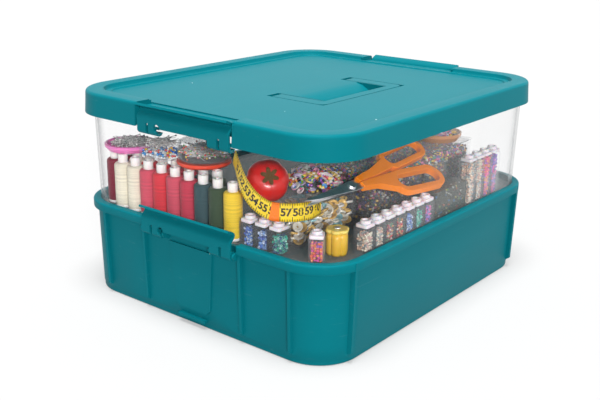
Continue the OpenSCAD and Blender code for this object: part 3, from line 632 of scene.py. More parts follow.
def block(sizes: Sequence[float], corner: float, edge: float = 0.5, steps: int = 4) -> Shape:
    """Makes a block with rounded corners and softened edges, standing on z = 0.

    Args:
        sizes: Length, width and height.
        corner: Radius of the upright corners.
        edge: Radius of the other edges.
        steps: Steps round each corner.

    Returns:
        The vertices and faces.
    """
    arc = np.linspace(0, math.pi / 2, steps + 1)
    turns = np.concatenate([arc + k * math.pi / 2 for k in range(4)])
    signs = np.repeat([(1, 1), (-1, 1), (-1, -1), (1, -1)], steps + 1, axis=0)
    levels = [(edge, 0.0), (0.3 * edge, 0.3 * edge), (0.0, edge)]
    levels += [(inset, sizes[2] - z) for inset, z in levels[::-1]]
    rings = []
    for inset, z in levels:
        radius = max(corner - inset, 0.1)
        middle = np.array(sizes[:2]) / 2 - inset - radius
        ring = signs * middle + radius * np.stack([np.cos(turns), np.sin(turns)], 1)
        rings.append(np.column_stack([ring, np.full(len(ring), z)]))
    count = len(turns)
    faces = bands(len(levels) - 1, count)
    top = (len(levels) - 1) * count
    faces += [tuple(range(count))[::-1], tuple(range(top, top + count))]
    return np.concatenate(rings), faces


def joined(shapes: Iterable[Shape]) -> Shape:
    """Joins shapes into one."""
    verts, faces, count = [], [], 0
    for points, polygons in shapes:
        verts.append(points)
        faces.extend(tuple(count + i for i in face) for face in polygons)
        count += len(points)
    return np.concatenate(verts), faces


def make_mesh(name: str, shape: Shape, smooth: bool = True) -> bpy.types.Object:
    """Makes an object from vertices in millimetres.

    Args:
        name: Name of the object.
        shape: Vertices and faces.
        smooth: Whether the faces are shaded smooth.

    Returns:
        The object, linked to the scene.
    """
    mesh = bpy.data.meshes.new(name)
    mesh.from_pydata((shape[0] * MM).tolist(), [], shape[1])
    mesh.polygons.foreach_set("use_smooth", [smooth] * len(mesh.polygons))
    mesh.update()
    made = bpy.data.objects.new(name, mesh)
    bpy.context.scene.collection.objects.link(made)
    return made


def crisp(piece: bpy.types.Object) -> None:
    """Keeps the sharp edges of a smooth-shaded piece."""
    piece.modifiers.new("crisp", "EDGE_SPLIT").split_angle = math.radians(50)


def mount(
    piece: bpy.types.Object, finish: Finish, nodes: Iterable[str] = (),
    body: str = "tray"
) -> bpy.types.Object:
    """Gives a modelled piece its finish and body, and hides the CAD nodes it stands for.

    Args:
        piece: The modelled object.
        finish: Its finish.
        nodes: CAD nodes that it stands for.
        body: The CAD body that it rides on.

    Returns:
        The same object.
    """
    piece.data.materials.append(finish.material())
    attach(piece, body)
    for node in nodes:
        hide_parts(node)
    log.info("%s: %d faces on %s", piece.name, len(piece.data.polygons), body)
    return piece


def dress(node: str, finish: Finish, bevel: float = 0.0, segments: int = 2) -> None:
    """Gives a CAD node its finish, with rounded edges from a modifier.

    Args:
        node: Name of the CAD node.
        finish: Its finish.
        bevel: Width of the rounded edges.
        segments: Steps across each rounded edge.
    """
    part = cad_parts[node]
    part.data.materials.clear()
    part.data.materials.append(finish.material())
    if bevel:
        for layer in [a for a in part.data.attributes if a.name == "custom_normal"]:
            part.data.attributes.remove(layer)
        part.data.polygons.foreach_set("use_smooth", [True] * len(part.data.polygons))
        part.modifiers.new("weld", "WELD").merge_threshold = 0.002 * MM
        edge = part.modifiers.new("rounded_edges", "BEVEL")
        edge.width = bevel * MM
        edge.segments = segments
        edge.limit_method = "ANGLE"
        edge.angle_limit = math.radians(32)
        edge.harden_normals = True
    log.info("%s dressed in %s", node, finish.name)


@dataclass(frozen=True)
class Island:
    """One connected solid of a CAD node, in millimetres."""

    points: np.ndarray

    @property
    def low(self) -> np.ndarray:
        """Lowest corner."""
        return self.points.min(0)

    @property
    def high(self) -> np.ndarray:
        """Highest corner."""
        return self.points.max(0)

    @property
    def centre(self) -> np.ndarray:
        """Middle of the box round the solid."""
        return (self.low + self.high) / 2

    def upright_box(self) -> tuple[Matrix, np.ndarray]:
        """Reads a box that is turned about Z.

        Returns:
            Its placement, at the middle of its underside, and its three sizes.
        """
        floor = self.points[self.points[:, 2] < self.low[2] + 0.01]
        middle = floor.mean(0)
        turn = np.arctan2(floor[:, 1] - middle[1], floor[:, 0] - middle[0])
        ring = floor[np.argsort(turn)]
        side_a, side_b = ring[1] - ring[0], ring[2] - ring[1]
        angle = math.atan2(side_a[1], side_a[0])
        sizes = np.array(
            [np.linalg.norm(side_a), np.linalg.norm(side_b), self.high[2] - self.low[2]]
        )
        return Matrix.Translation(Vector(middle)) @ Matrix.Rotation(angle, 4, "Z"), sizes


def corners(node: str) -> tuple[np.ndarray, np.ndarray]:
    """Returns the lowest and highest corners of a CAD node, in millimetres."""
    low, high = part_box(node)
    return np.array(low) / MM, np.array(high) / MM


def islands(node: str) -> list[Island]:
    """Splits a CAD node into its connected solids.

    Args:
        node: Name of the CAD node.

    Returns:
        The solids, ordered by their places.
    """
    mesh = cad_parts[node].data
    points = np.array([v.co for v in mesh.vertices]) / MM
    keys = [tuple(p) for p in np.round(points, 3).tolist()]
    parent: dict[tuple, tuple] = {k: k for k in keys}

    def root(key: tuple) -> tuple:
        """Finds the name of the group that a point is in."""
        while parent[key] != key:
            parent[key] = parent[parent[key]]
            key = parent[key]
        return key

    for face in mesh.polygons:
        first = keys[face.vertices[0]]
        for other in face.vertices[1:]:
            parent[root(first)] = root(keys[other])
    groups: dict[tuple, set] = defaultdict(set)
    for key in keys:
        groups[root(key)].add(key)
    found = [Island(np.array(sorted(g))) for g in groups.values()]
    return sorted(found, key=lambda s: (-s.centre[1], s.centre[0]))


class BeadShape(Enum):
    """Small things that fill the containers, one millimetre across or so, to be scaled."""

    SEED = "seed"
    ROUND = "round"
    SEQUIN = "sequin"
    BUTTON = "button"

    def shape(self) -> Shape:
        """Returns the mesh of one bead of diameter one."""
        if self is BeadShape.SEED:
            return closed_ring(
                [(0.2, -0.26), (0.42, -0.28), (0.5, 0.0), (0.42, 0.28), (0.2, 0.26)], 9
            )
        if self is BeadShape.ROUND:
            steps = [
                (0.5 * math.sin(a), -0.5 * math.cos(a)) for a in np.linspace(
                    0.12, math.pi - 0.12, 6
                )
            ]
            return lathe([(0.0, -0.5), *steps, (0.0, 0.5)], 10)
        if self is BeadShape.SEQUIN:
            return closed_ring([(0.08, -0.03), (0.5, 0.03), (0.5, 0.07), (0.08, 0.02)], 10)
        return closed_ring(
            [
                (0.1, -0.06), (0.42, -0.1), (0.5, -0.02), (0.49, 0.1), (0.42, 0.12), (0.36, 0.04),
                (0.1, 0.03)
            ],
            16
        )


@dataclass
class Scatter:
    """Joins many small copies into one mesh, each with a colour of its own."""

    seed: int
    verts: list[np.ndarray] = field(default_factory=list)
    faces: list[tuple[int, ...]] = field(default_factory=list)
    tints: list[np.ndarray] = field(default_factory=list)
    count: int = 0
    layer_rise: float = 0.86
    jitter: float = 0.22

    def __post_init__(self) -> None:
        """Starts the seeded random stream."""
        self.chance = np.random.default_rng(self.seed)

    def turns(self, number: int, lie: float = 1.0) -> np.ndarray:
        """Makes random rotations.

        Args:
            number: How many.
            lie: One for any way up, zero for lying flat.

        Returns:
            Rotation matrices.
        """
        tilt = self.chance.uniform(-math.pi, math.pi, number) * lie
        spin = self.chance.uniform(0, 2 * math.pi, number)
        ct, st, cs, ss = np.cos(tilt), np.sin(tilt), np.cos(spin), np.sin(spin)
        zero, one = np.zeros(number), np.ones(number)
        lean = np.array([[one, zero, zero], [zero, ct, -st], [zero, st, ct]]).transpose(2, 0, 1)
        swing = np.array([[cs, -ss, zero], [ss, cs, zero], [zero, zero, one]]).transpose(2, 0, 1)
        return swing @ lean

    def put(
        self, shape: Shape, centres: np.ndarray, sizes: np.ndarray | float, palette: Palette,
        lie: float = 1.0
    ) -> None:
        """Adds one copy of a shape at each centre.

        Args:
            shape: The bead's mesh.
            centres: Places of the copies.
            sizes: Scale of all copies, or of each.
            palette: Colours to draw from.
            lie: How far the copies may tip out of the flat.
        """
        number = len(centres)
        if not number:
            return
        scale = np.broadcast_to(np.asarray(sizes, float), (number,))
        copies = np.einsum("nij,vj->nvi", self.turns(number, lie), shape[0]) * scale[:, None, None]
        copies += centres[:, None, :]
        step = len(shape[0])
        self.verts.append(copies.reshape(-1, 3))
        for n in range(number):
            start = self.count + n * step
            self.faces.extend(tuple(start + i for i in face) for face in shape[1])
        colours = np.array([srgb(*c) for c in palette.value])
        drawn = colours[self.chance.integers(0, len(colours), number)]
        drawn = drawn * self.chance.uniform(0.75, 1.15, (number, 1))
        self.tints.append(np.repeat(drawn, step, axis=0))
        self.count += number * step

    def finish(self, name: str) -> bpy.types.Object:
        """Makes the joined object with its bead_tint attribute."""
        piece = make_mesh(name, (np.concatenate(self.verts), self.faces))
        tint = piece.data.color_attributes.new("bead_tint", "FLOAT_COLOR", "POINT")
        rgba = np.column_stack([np.clip(np.concatenate(self.tints), 0, 1), np.ones(self.count)])
        tint.data.foreach_set("color", rgba.astype(np.float32).ravel())
        return piece

    def fill_box(self, sizes: np.ndarray, pitch: float, shell: float) -> np.ndarray:
        """Finds places for beads near the faces of a box, where they can be seen.

        Args:
            sizes: Length, width and height of the box, standing on z = 0.
            pitch: Distance between beads.
            shell: Depth of the filled shell.

        Returns:
            The places, about the middle of the underside.
        """
        half = sizes[:2] / 2 - pitch / 2
        xs = np.arange(-half[0], half[0] + 1e-6, pitch)
        ys = np.arange(-half[1], half[1] + 1e-6, pitch)
        rise = pitch * self.layer_rise
        zs = np.arange(pitch / 2, sizes[2] - pitch / 2 + 1e-6, rise)
        grid = np.array(np.meshgrid(xs, ys, zs, indexing="ij")).reshape(3, -1).T
        layer = np.round((grid[:, 2] - pitch / 2) / rise).astype(int) % 2
        grid[:, 0] += layer * pitch * 0.4
        grid += self.chance.uniform(-self.jitter, self.jitter, grid.shape) * pitch
        grid[:, :2] = np.clip(grid[:, :2], -half, half)
        grid[:, 2] = np.clip(grid[:, 2], pitch / 2, sizes[2] - pitch / 2)
        depth = np.minimum(sizes[0] / 2 - np.abs(grid[:, 0]), sizes[1] / 2 - np.abs(grid[:, 1]))
        depth = np.minimum(depth, sizes[2] - grid[:, 2])
        return grid[depth < shell]


def transformed(points: np.ndarray, matrix: Matrix) -> np.ndarray:
    """Moves points by a matrix."""
    m = np.array(matrix)
    return points @ m[:3, :3].T + m[:3, 3]


@dataclass
class TealShell:
    """Base, lid, handle and latches, which are all one teal moulding material."""

    edge: float = 0.5
    parts: tuple[str, ...] = (
        "base_box",
        "lid",
        "carry_handle",
        "base_latch_left",
        "base_latch_right",
        "lid_latch_left",
        "lid_latch_right",
    )

    def build(self) -> None:
        """Dresses the CAD nodes."""
        for part in self.parts:
            dress(part, TEAL, self.edge)


@dataclass
class ClearTray:
    """The clear tray that holds everything."""

    edge: float = 0.4

    def build(self) -> None:
        """Dresses the tray."""
        dress("clear_tray", CLEAR, self.edge)


@dataclass
class Spools:
    """Eighteen thread spools with white caps."""

    cap_radius: float = 4.5
    cap_height: float = 8.6
    cap_hole: float = 2.0
    shoulder: float = 3.0
    core: float = 4.0
    foot: float = 2.5
    around: int = 40
    ridge_pitch: float = 1.1
    ridge_depth: float = 0.09
    chance: np.random.Generator = field(default_factory=lambda: np.random.default_rng(11))

    def bobbin(self, solid: Island, number: int) -> None:
        """Models one plastic bobbin: foot, core and cap with its hole.

        Args:
            solid: The CAD bobbin.
            number: Its number, for the name.
        """
        top = solid.high[2] - solid.low[2]
        foot_r = (solid.high[0] - solid.low[0]) / 2
        cap, hole = self.cap_radius, self.cap_hole
        low = top - self.cap_height
        profile = [
            (0, 0), (foot_r - 0.4, 0), (foot_r, 0.4), (foot_r, self.foot - 0.4),
            (foot_r - 0.4, self.foot),
            (self.core, self.foot), (self.core, low), (cap - 0.3, low), (cap, low + 0.4),
            (cap, top - 0.9),
            (cap - 0.3, top - 0.3), (cap - 0.9, top), (hole + 0.4, top), (hole, top - 0.4),
            (hole, top - 5.5), (0, top - 5.5),
        ]
        piece = make_mesh(f"bobbin_{number:02d}", lathe(profile, self.around))
        piece.location = Vector((*solid.centre[:2], solid.low[2])) * MM
        crisp(piece)
        mount(piece, WHITE, ["spool_bobbins"])

    def winding(self, colour: str, solid: Island, number: int) -> None:
        """Models one wound thread, with its rows of turns and a rounded shoulder.

        Args:
            colour: Name of the thread's colour.
            solid: The CAD thread.
            number: Its number, for the name.
        """
        radius = (solid.high[0] - solid.low[0]) / 2
        tall = solid.high[2] - solid.low[2]
        rows = int(tall / self.ridge_pitch * 4)
        swell = np.interp(
            np.arange(rows), np.linspace(0, rows, 12), self.chance.uniform(-0.16, 0.0, 12)
        )
        profile = []
        for k in range(rows + 1):
            z = tall * k / rows
            r = radius + (swell[k - 1] if 0 < k < rows else -0.1)
            if z > tall - self.shoulder:
                climb = min(1.0, (z - tall + self.shoulder) / self.shoulder)
                r -= self.shoulder * (1 - math.cos(math.asin(climb))) * 0.75
            if z < 1.5:
                r -= 0.4 * (1.5 - z) / 1.5
            profile.append((r, z))
        profile = [(self.core, 0), *profile, (self.core, tall)]
        verts, faces = lathe(profile, self.around)
        angle = np.arctan2(verts[:, 1], verts[:, 0])
        flat = np.hypot(verts[:, 0], verts[:, 1])
        ridge = np.abs(np.sin(math.pi * (verts[:, 2] / self.ridge_pitch + angle / (2 * math.pi))))
        pushed = np.where(flat > self.core + 0.5, 1 - self.ridge_depth * (1 - ridge) / radius, 1.0)
        verts[:, :2] *= pushed[:, None]
        piece = make_mesh(f"{colour}_thread_{number}", (verts, faces))
        layer = piece.data.uv_layers.new(name="winding")
        loops = np.array([loop.vertex_index for loop in piece.data.loops])
        turn = (angle[loops] / (2 * math.pi)) % 1.0
        layer.data.foreach_set(
            "uv", np.column_stack([turn, verts[loops, 2] / tall]).astype(np.float32).ravel()
        )
        piece.location = Vector((*solid.centre[:2], solid.low[2])) * MM
        finish = WoundThread(f"{colour}_winding", srgb(*THREADS[colour]), 0.6)
        mount(piece, finish, [f"thread_{colour}"])

    def build(self) -> None:
        """Models every bobbin and winding."""
        for number, solid in enumerate(islands("spool_bobbins"), 1):
            self.bobbin(solid, number)
        for colour in THREADS:
            for number, solid in enumerate(islands(f"thread_{colour}"), 1):
                self.winding(colour, solid, number)


@dataclass
class PinContainers:
    """The pink dish of steel pins and the clear box of coloured pins on its red base."""

    pin_length: float = 24.0
    shaft: float = 0.32
    head: float = 2.0
    dish_pins: int = 170
    box_pins: int = 200

    def pin(self) -> Shape:
        """Returns one pin along Z, of length one, with shaft and head in proportion."""
        r = self.shaft / self.pin_length
        return lathe(
            [(0.0, -0.5), (r, -0.42), (r, 0.46), (r * 1.6, 0.48), (r * 1.6, 0.5), (0.0, 0.5)], 6
        )

    def heap(
        self, name: str, space: tuple[np.ndarray, np.ndarray], number: int, seed: int,
        palette: Palette,
        nodes: Sequence[str] = (),
    ) -> None:
        """Piles pins inside a round space.

        Args:
            name: Name of the piece.
            space: Lowest and highest corners of the pile.
            number: How many pins.
            seed: Seed of the pile.
            palette: Colours of the heads.
            nodes: CAD nodes that the pins stand for.
        """
        low, high = space
        middle, reach, tall = (low + high) / 2, (high[0] - low[0]) / 2, high[2] - low[2]
        scatter = Scatter(seed)
        chance = scatter.chance
        angle = chance.uniform(0, 2 * math.pi, number)
        spread = reach * 0.62 * np.sqrt(chance.uniform(0, 1, number))
        height = tall * (1 - (spread / reach) ** 2) * chance.uniform(0.35, 1.0, number) * 0.92
        centres = np.column_stack(
            [
                middle[0] + spread * np.cos(angle), middle[1] + spread * np.sin(angle),
                low[2] + 0.8 + height
            ]
        )
        lengths = np.minimum(self.pin_length, 2 * (reach - spread) * 0.98 + 4)
        slope = chance.uniform(-0.22, 0.22, number)
        turn = chance.uniform(0, 2 * math.pi, number)
        run = np.column_stack(
            [np.cos(turn) * np.cos(slope), np.sin(turn) * np.cos(slope), np.sin(slope)]
        )
        verts, faces = self.pin()
        side = np.column_stack([-np.sin(turn), np.cos(turn), np.zeros(number)])
        up = np.cross(run, side)
        frames = np.stack([side, up, run], axis=2)
        around = np.einsum("nij,vj->nvi", frames, verts * [self.pin_length, self.pin_length, 0.0])
        along = verts[None, :, 2:] * (run * lengths[:, None])[:, None, :]
        copies = around + along + centres[:, None, :]
        floor = low[2] + 0.5
        copies[:, :, 2] = np.maximum(copies[:, :, 2], floor)
        step = len(verts)
        all_faces = [tuple(n * step + i for i in face) for n in range(number) for face in faces]
        shafts = make_mesh(name, (copies.reshape(-1, 3), all_faces))
        mount(shafts, PIN_STEEL, nodes)
        ends = centres + run * (lengths * 0.5)[:, None]
        ends[:, 2] = np.maximum(ends[:, 2], floor + self.head / 2)
        scatter.put(
            BeadShape.ROUND.shape(), ends, self.head * chance.uniform(0.7, 1.0, number), palette
        )
        mount(scatter.finish(f"{name}_heads"), BUTTONS)

    def build(self) -> None:
        """Dresses the containers and fills them."""
        dress("pin_dish", PINK, 0.3)
        dress("pin_box", BOX_CLEAR)
        dress("pin_box_base", PIN_BASE, 0.4)
        self.heap(
            "steel_pin_heap", corners("dish_pins"), self.dish_pins, 5, Palette.PIN, ["dish_pins"]
        )
        self.heap(
            "coloured_pin_heap", corners("box_pins"), self.box_pins, 6, Palette.HEAD, ["box_pins"]
        )
        self.notions()

    def notions(self) -> None:
        """Models the flat clear box between the two, with bits in it and loose pins on its lid."""
        centre, sizes = np.array([-139.0, 66.4, 136.9]), (31.0, 35.0, 9.0)
        case = block(sizes, 3.0, 0.8)
        mount(make_mesh("notions_box", (case[0] + centre, case[1])), BOX_CLEAR)
        scatter = Scatter(7)
        spots = scatter.fill_box(np.array(sizes) - [2.4, 2.4, 2.0], 3.2, 4.0) + centre + [0, 0, 1.0]
        scatter.put(
            BeadShape.ROUND.shape(), spots, scatter.chance.uniform(2.2, 3.2, len(spots)),
            Palette.NOTION
        )
        mount(scatter.finish("notions_fill"), BEADS)
        top = centre[2] + sizes[2]
        space = (np.array([-153.0, 52.0, top - 0.4]), np.array([-125.0, 80.0, top + 8.0]))
        self.heap("loose_pin_heap", space, 70, 8, Palette.PIN)


@dataclass
class Pincushion:
    """The tomato pincushion, tipped towards the near corner, with its leaf star."""

    lobes: int = 6
    around: int = 96
    rows: int = 48
    seam: float = 0.035
    plump: float = 1.09
    leaf_rings: int = 7
    tip_degrees: float = 58.0
    tip_azimuth: float = -130.0

    def tilt(self, middle: np.ndarray) -> Matrix:
        """Returns the placement that tips the crown towards the near corner."""
        way = math.radians(self.tip_azimuth)
        axis = Vector((-math.sin(way), math.cos(way), 0))
        turn = Matrix.Rotation(math.radians(self.tip_degrees), 4, axis)
        return Matrix.Translation(Vector(middle)) @ turn

    def surface(self, angle: float, latitude: float, radius: float, tall: float) -> tuple[
        float, float, float
    ]:
        """Finds a point of the cushion.

        Args:
            angle: Angle round the crown.
            latitude: Angle above the middle.
            radius: Radius at the middle.
            tall: Height of the cushion.

        Returns:
            The point, about the cushion's own middle.
        """
        groove = abs(math.cos(self.lobes / 2 * angle)) ** 10
        r = radius * math.cos(latitude) * (1 - self.seam * groove * math.cos(latitude) ** 0.3)
        dimple = 0.16 * max(0.0, math.sin(abs(latitude))) ** 12
        return r * math.cos(angle), r * math.sin(angle), tall / 2 * math.sin(latitude) * (
            1 - dimple
        )

    def build(self) -> None:
        """Models the cushion and the leaf."""
        low, high = corners("tomato_cushion")
        grown = self.plump * (high - low)
        middle = (low + high) / 2 + [0, 0, (self.plump - 1) / 2 * (high - low)[2]]
        radius, tall = grown[0] / 2, grown[2]
        place = self.tilt(middle)
        verts = [
            self.surface(
                2 * math.pi * i / self.around, -math.pi / 2 + math.pi * k / self.rows, radius, tall
            )
            for k in range(self.rows + 1)
            for i in range(self.around)
        ]
        faces = bands(self.rows, self.around)
        cushion = make_mesh("tomato_pincushion", (transformed(np.array(verts), place), faces))
        mount(cushion, TOMATO, ["tomato_cushion"])
        self.leaf(radius, tall, place)

    def leaf(self, radius: float, tall: float, place: Matrix) -> None:
        """Models the star of felt leaves that lies over the crown.

        Args:
            radius: Radius of the cushion.
            tall: Height of the cushion.
            place: Placement of the cushion.
        """
        verts, rings, around = [], self.leaf_rings, self.around // 2
        for layer in (0.25, 1.0):
            for k in range(rings):
                for i in range(around):
                    angle = 2 * math.pi * i / around
                    point = abs(math.cos(self.lobes / 2 * angle)) ** 1.6
                    reach = (0.2 + 0.26 * point) * k / (rings - 1)
                    x, y, z = self.surface(angle, math.pi / 2 - reach, radius, tall)
                    verts.append((x, y, z + layer + 0.5 * (k / rings) ** 2 * point))
        faces = bands(rings - 1, around)
        faces += [quad[::-1] for quad in bands(rings - 1, around, rings * around)]
        last, top = (rings - 1) * around, (2 * rings - 1) * around
        for i in range(around):
            j = (i + 1) % around
            faces.append((last + i, last + j, top + j, top + i))
        star = make_mesh("tomato_leaf_star", (transformed(np.array(verts), place), faces))
        mount(star, LEAF, ["tomato_leaf"])


@dataclass
class MeasuringTape:
    """The yellow tape, standing on its edge in a bow, with its printed numbers and orange end."""

    width: float = 15.5
    thickness: float = 0.6
    height: float = 121.25
    steps: int = 260
    number_step: float = 10.0
    tip_at: float = 66.0
    tip_half: float = 3.8
    first_number: int = 50
    route: tuple[tuple[float, float, float], ...] = (
        (-152, -34, 36), (-158, -44, 28), (-162, -54, 17), (-163, -66, 7), (-161, -80, 1),
        (-155, -92, 0), (-145, -101, 0), (-133, -104, 0), (-121, -102, 0),
    )

    def __post_init__(self) -> None:
        """Samples the middle line and its directions at even lengths."""
        points = np.array(self.route, float) + [0, 0, self.height]
        fine = np.array([self._spline(points, t) for t in np.linspace(0, 1, 800)])
        run = np.concatenate([[0], np.cumsum(np.linalg.norm(np.diff(fine, axis=0), axis=1))])
        self.length = float(run[-1])
        self.stations = np.linspace(0, self.length, self.steps + 1)
        self.line = np.column_stack([np.interp(self.stations, run, fine[:, k]) for k in range(3)])
        along = np.gradient(self.line, axis=0)
        self.along = along / np.linalg.norm(along, axis=1)[:, None]
        out = np.cross(self.along, [0, 0, 1])
        self.out = out / np.linalg.norm(out, axis=1)[:, None]
        self.up = np.cross(self.out, self.along)

    @staticmethod
    def _spline(points: np.ndarray, t: float) -> np.ndarray:
        """Returns a point of a curve that passes through all the points."""
        n = len(points) - 1
        k = min(int(t * n), n - 1)
        f = t * n - k
        p0, p1, p2, p3 = (points[min(max(i, 0), n)] for i in (k - 1, k, k + 1, k + 2))
        bend, twist = 2 * p0 - 5 * p1 + 4 * p2 - p3, 3 * p1 - p0 - 3 * p2 + p3
        return 0.5 * (2 * p1 + (p2 - p0) * f + bend * f * f + twist * f**3)

    def at(self, along: np.ndarray, across: np.ndarray, outward: np.ndarray) -> np.ndarray:
        """Maps flat tape coordinates to the bent tape.

        Args:
            along: Distances along the tape.
            across: Distances from its middle line.
            outward: Distances off its face.

        Returns:
            The points.
        """
        place = [np.column_stack([np.interp(along, self.stations, v[:, k]) for k in range(3)])
                 for v in (self.line, self.up, self.out)]
        return place[0] + place[1] * across[:, None] + place[2] * outward[:, None]

    def strip(self, stations: np.ndarray, rows: np.ndarray, off: float) -> Shape:
        """Makes a thick strip along the tape, open at its two ends.

        Args:
            stations: Distances along the tape.
            rows: Distances across it.
            off: Half the strip's thickness.

        Returns:
            The vertices and faces.
        """
        across, faces = len(rows), []
        count = len(stations) * across
        verts = [
            self.at(np.full(across, s), rows, np.full(across, side * off))
            for side in (1, -1)
            for s in stations
        ]
        for i in range(len(stations) - 1):
            for j in range(across - 1):
                a, b = i * across + j, count + i * across + j
                faces.append((a, a + 1, a + across + 1, a + across))
                faces.append((b, b + across, b + across + 1, b + 1))
            for j in (0, across - 1):
                a, b = i * across + j, count + i * across + j
                faces.append((a, a + across, b + across, b))
        return np.concatenate(verts), faces

    def ribbon(self) -> bpy.types.Object:
        """Models the ribbon, with UV in millimetres along and across it."""
        rows = np.linspace(-self.width / 2, self.width / 2, 7)
        verts, faces = self.strip(self.stations, rows, self.thickness / 2)
        uvs = [(s, w + self.width / 2) for _ in range(2) for s in self.stations for w in rows]
        across, count = len(rows), len(self.stations) * len(rows)
        for i in (0, self.steps):
            for a in range(i * across, (i + 1) * across - 1):
                faces.append((a, a + 1, count + a + 1, count + a))
        piece = make_mesh("tape_ribbon", (verts, faces))
        layer = piece.data.uv_layers.new(name="tape")
        loops = [loop.vertex_index for loop in piece.data.loops]
        layer.data.foreach_set("uv", np.array(uvs, np.float32)[loops].ravel())
        return piece

    def numbers(self) -> bpy.types.Object:
        """Models the printed numbers as thin ink on the outer face."""
        verts: list[np.ndarray] = []
        faces: list[tuple[int, ...]] = []
        count = 0
        for k in range(1, int(self.length / self.number_step)):
            curve = bpy.data.curves.new("digits", "FONT")
            curve.body = str(self.first_number + k)
            curve.size = 7.2
            curve.align_x, curve.align_y = "CENTER", "CENTER"
            curve.offset = 0.24
            text = bpy.data.objects.new("digits", curve)
            mesh = text.to_mesh()
            flat = np.array([v.co for v in mesh.vertices]) * [1.25, 1.25, 1]
            middle = (k + 0.5) * self.number_step
            verts.append(
                self.at(
                    middle + flat[:, 0], flat[:, 1], np.full(len(flat), self.thickness / 2 + 0.06)
                )
            )
            faces.extend(tuple(count + i for i in p.vertices) for p in mesh.polygons)
            count += len(flat)
            text.to_mesh_clear()
            bpy.data.objects.remove(text)
            bpy.data.curves.remove(curve)
        return make_mesh("tape_numbers", (np.concatenate(verts), faces), False)

    def end_tip(self) -> bpy.types.Object:
        """Models the orange end of the tape's inner turn, which is folded over the outer one."""
        reach = np.linspace(self.tip_at - self.tip_half, self.tip_at + self.tip_half, 8)
        rows = np.linspace(-self.width / 2 - 0.2, self.width / 2 + 0.2, 5)
        return make_mesh("tape_end_tip", self.strip(reach, rows, self.thickness / 2 + 0.25))

    def build(self) -> None:
        """Models the tape, its print and its end."""
        ribbon = mount(self.ribbon(), TAPE, ["tape_measure"])
        numbers = mount(self.numbers(), INK)
        tip = mount(self.end_tip(), TIP)


@dataclass
class Scissors:
    """The orange-handled scissors."""

    grip_edge: float = 2.3

    def build(self) -> None:
        """Dresses the grips, blades and screw."""
        for grip in ("scissors_near_grip", "scissors_far_grip"):
            dress(grip, ORANGE_GRIP, self.grip_edge, 4)
        for blade in ("scissors_near_blade", "scissors_far_blade", "scissors_screw"):
            dress(blade, STEEL, 0.25)


@dataclass
class SmallBoxes:
    """The row of small bead boxes round the front, each filled with its own colour."""

    bead: float = 2.5
    tall_from: float = 55.0
    tall_by: float = 21.0
    fills: tuple[tuple[str, Palette], ...] = (
        ("blue", Palette.BLUE),
        ("teal", Palette.TEAL),
        ("red", Palette.RED),
        ("orange", Palette.ORANGE),
        ("purple", Palette.PURPLE),
        ("cream", Palette.CREAM),
    )

    def cap(self) -> Shape:
        """Returns one push-in cap: a flat plate, a raised collar and its dimple."""
        plate = block((13.2, 11.8, 3.0), 2.0, 0.6)
        collar = lathe(
            [
                (0.0, 2.8), (4.4, 2.8), (4.6, 3.4), (4.5, 5.4), (4.0, 5.9), (3.2, 5.9), (2.9, 5.5),
                (2.8, 4.4), (0.0, 4.4)
            ],
            28
        )
        return joined([plate, collar])

    def build(self) -> None:
        """Dresses, fills and caps the boxes; the right-hand ones are tall tubes."""
        dress("vial_tubes", BOX_CLEAR, 0.4)
        roof = corners("vial_caps")[0][2]
        caps: list[Shape] = []
        tubes: list[Shape] = []
        for seed, (colour, palette) in enumerate(self.fills, 20):
            scatter = Scatter(seed)
            for solid in islands(f"beads_{colour}"):
                place, sizes = solid.upright_box()
                tall = self.tall_by if solid.centre[0] > self.tall_from else 0.0
                fill = sizes + [0, 0, tall + roof - solid.high[2] if tall else 0.0]
                spots = scatter.fill_box(fill, self.bead, self.bead * 1.6)
                scatter.put(BeadShape.SEED.shape(), transformed(spots, place), self.bead, palette)
                level = Matrix.Translation((0, 0, roof + tall + 0.1 - solid.low[2]))
                cap = self.cap()
                caps.append((transformed(cap[0], place @ level), cap[1]))
                if tall:
                    tube = block((14.4, 12.8, tall), 1.2, 0.3)
                    lift = Matrix.Translation((0, 0, roof - solid.low[2]))
                    tubes.append((transformed(tube[0], place @ lift), tube[1]))
            mount(
                scatter.finish(f"{colour}_bead_fill"), BEADS, [f"beads_{colour}"]
            )
        mount(make_mesh("push_caps", joined(caps)), CAP, ["vial_caps"])
        mount(make_mesh("tall_tubes", joined(tubes)), BOX_CLEAR)
        for name in ("push_caps", "tall_tubes"):
            crisp(bpy.data.objects[name])
        self.flower()

    def flower(self) -> None:
        """Models the flower-shaped box, its lid and the round snap on the lid."""
        for node, name, finish, domed in (
            ("flower_box", "flower_pot", YELLOW_BOX, False),
            ("flower_box_lid", "flower_pot_lid", YELLOW_LID, True),
        ):
            low, high = corners(node)
            radius, tall = (high[0] - low[0]) / 2, high[2] - low[2]
            rise = [
                (0.0, 0.0), (0.5, 0.0), (0.94, 0.0), (1.0, 0.12), (1.0, 0.78), (0.93, 0.96),
                (0.7, 1.0)
            ]
            rise += [(0.45, 0.9), (0.0, 0.9)] if domed else [(0.0, 1.0)]
            verts, faces = lathe([(radius * r, tall * z) for r, z in rise], 120)
            flat = np.hypot(verts[:, 0], verts[:, 1])
            petal = np.abs(np.sin(3 * np.arctan2(verts[:, 1], verts[:, 0]))) ** 0.55
            verts[:, :2] *= (1 - 0.17 * (1 - petal) * np.clip(flat / radius, 0, 1))[:, None]
            middle = np.array([*((low + high) / 2)[:2], low[2]])
            mount(make_mesh(name, (verts + middle, faces)), finish, [node])
        snap = lathe([(0, 0), (2.6, 0), (2.8, 0.4), (2.4, 0.9), (1.4, 1.3), (0, 1.4)], 28)
        seat = middle + [0, 0, 0.9 * tall]
        mount(make_mesh("flower_pot_snap", (snap[0] + seat, snap[1])), STEEL)


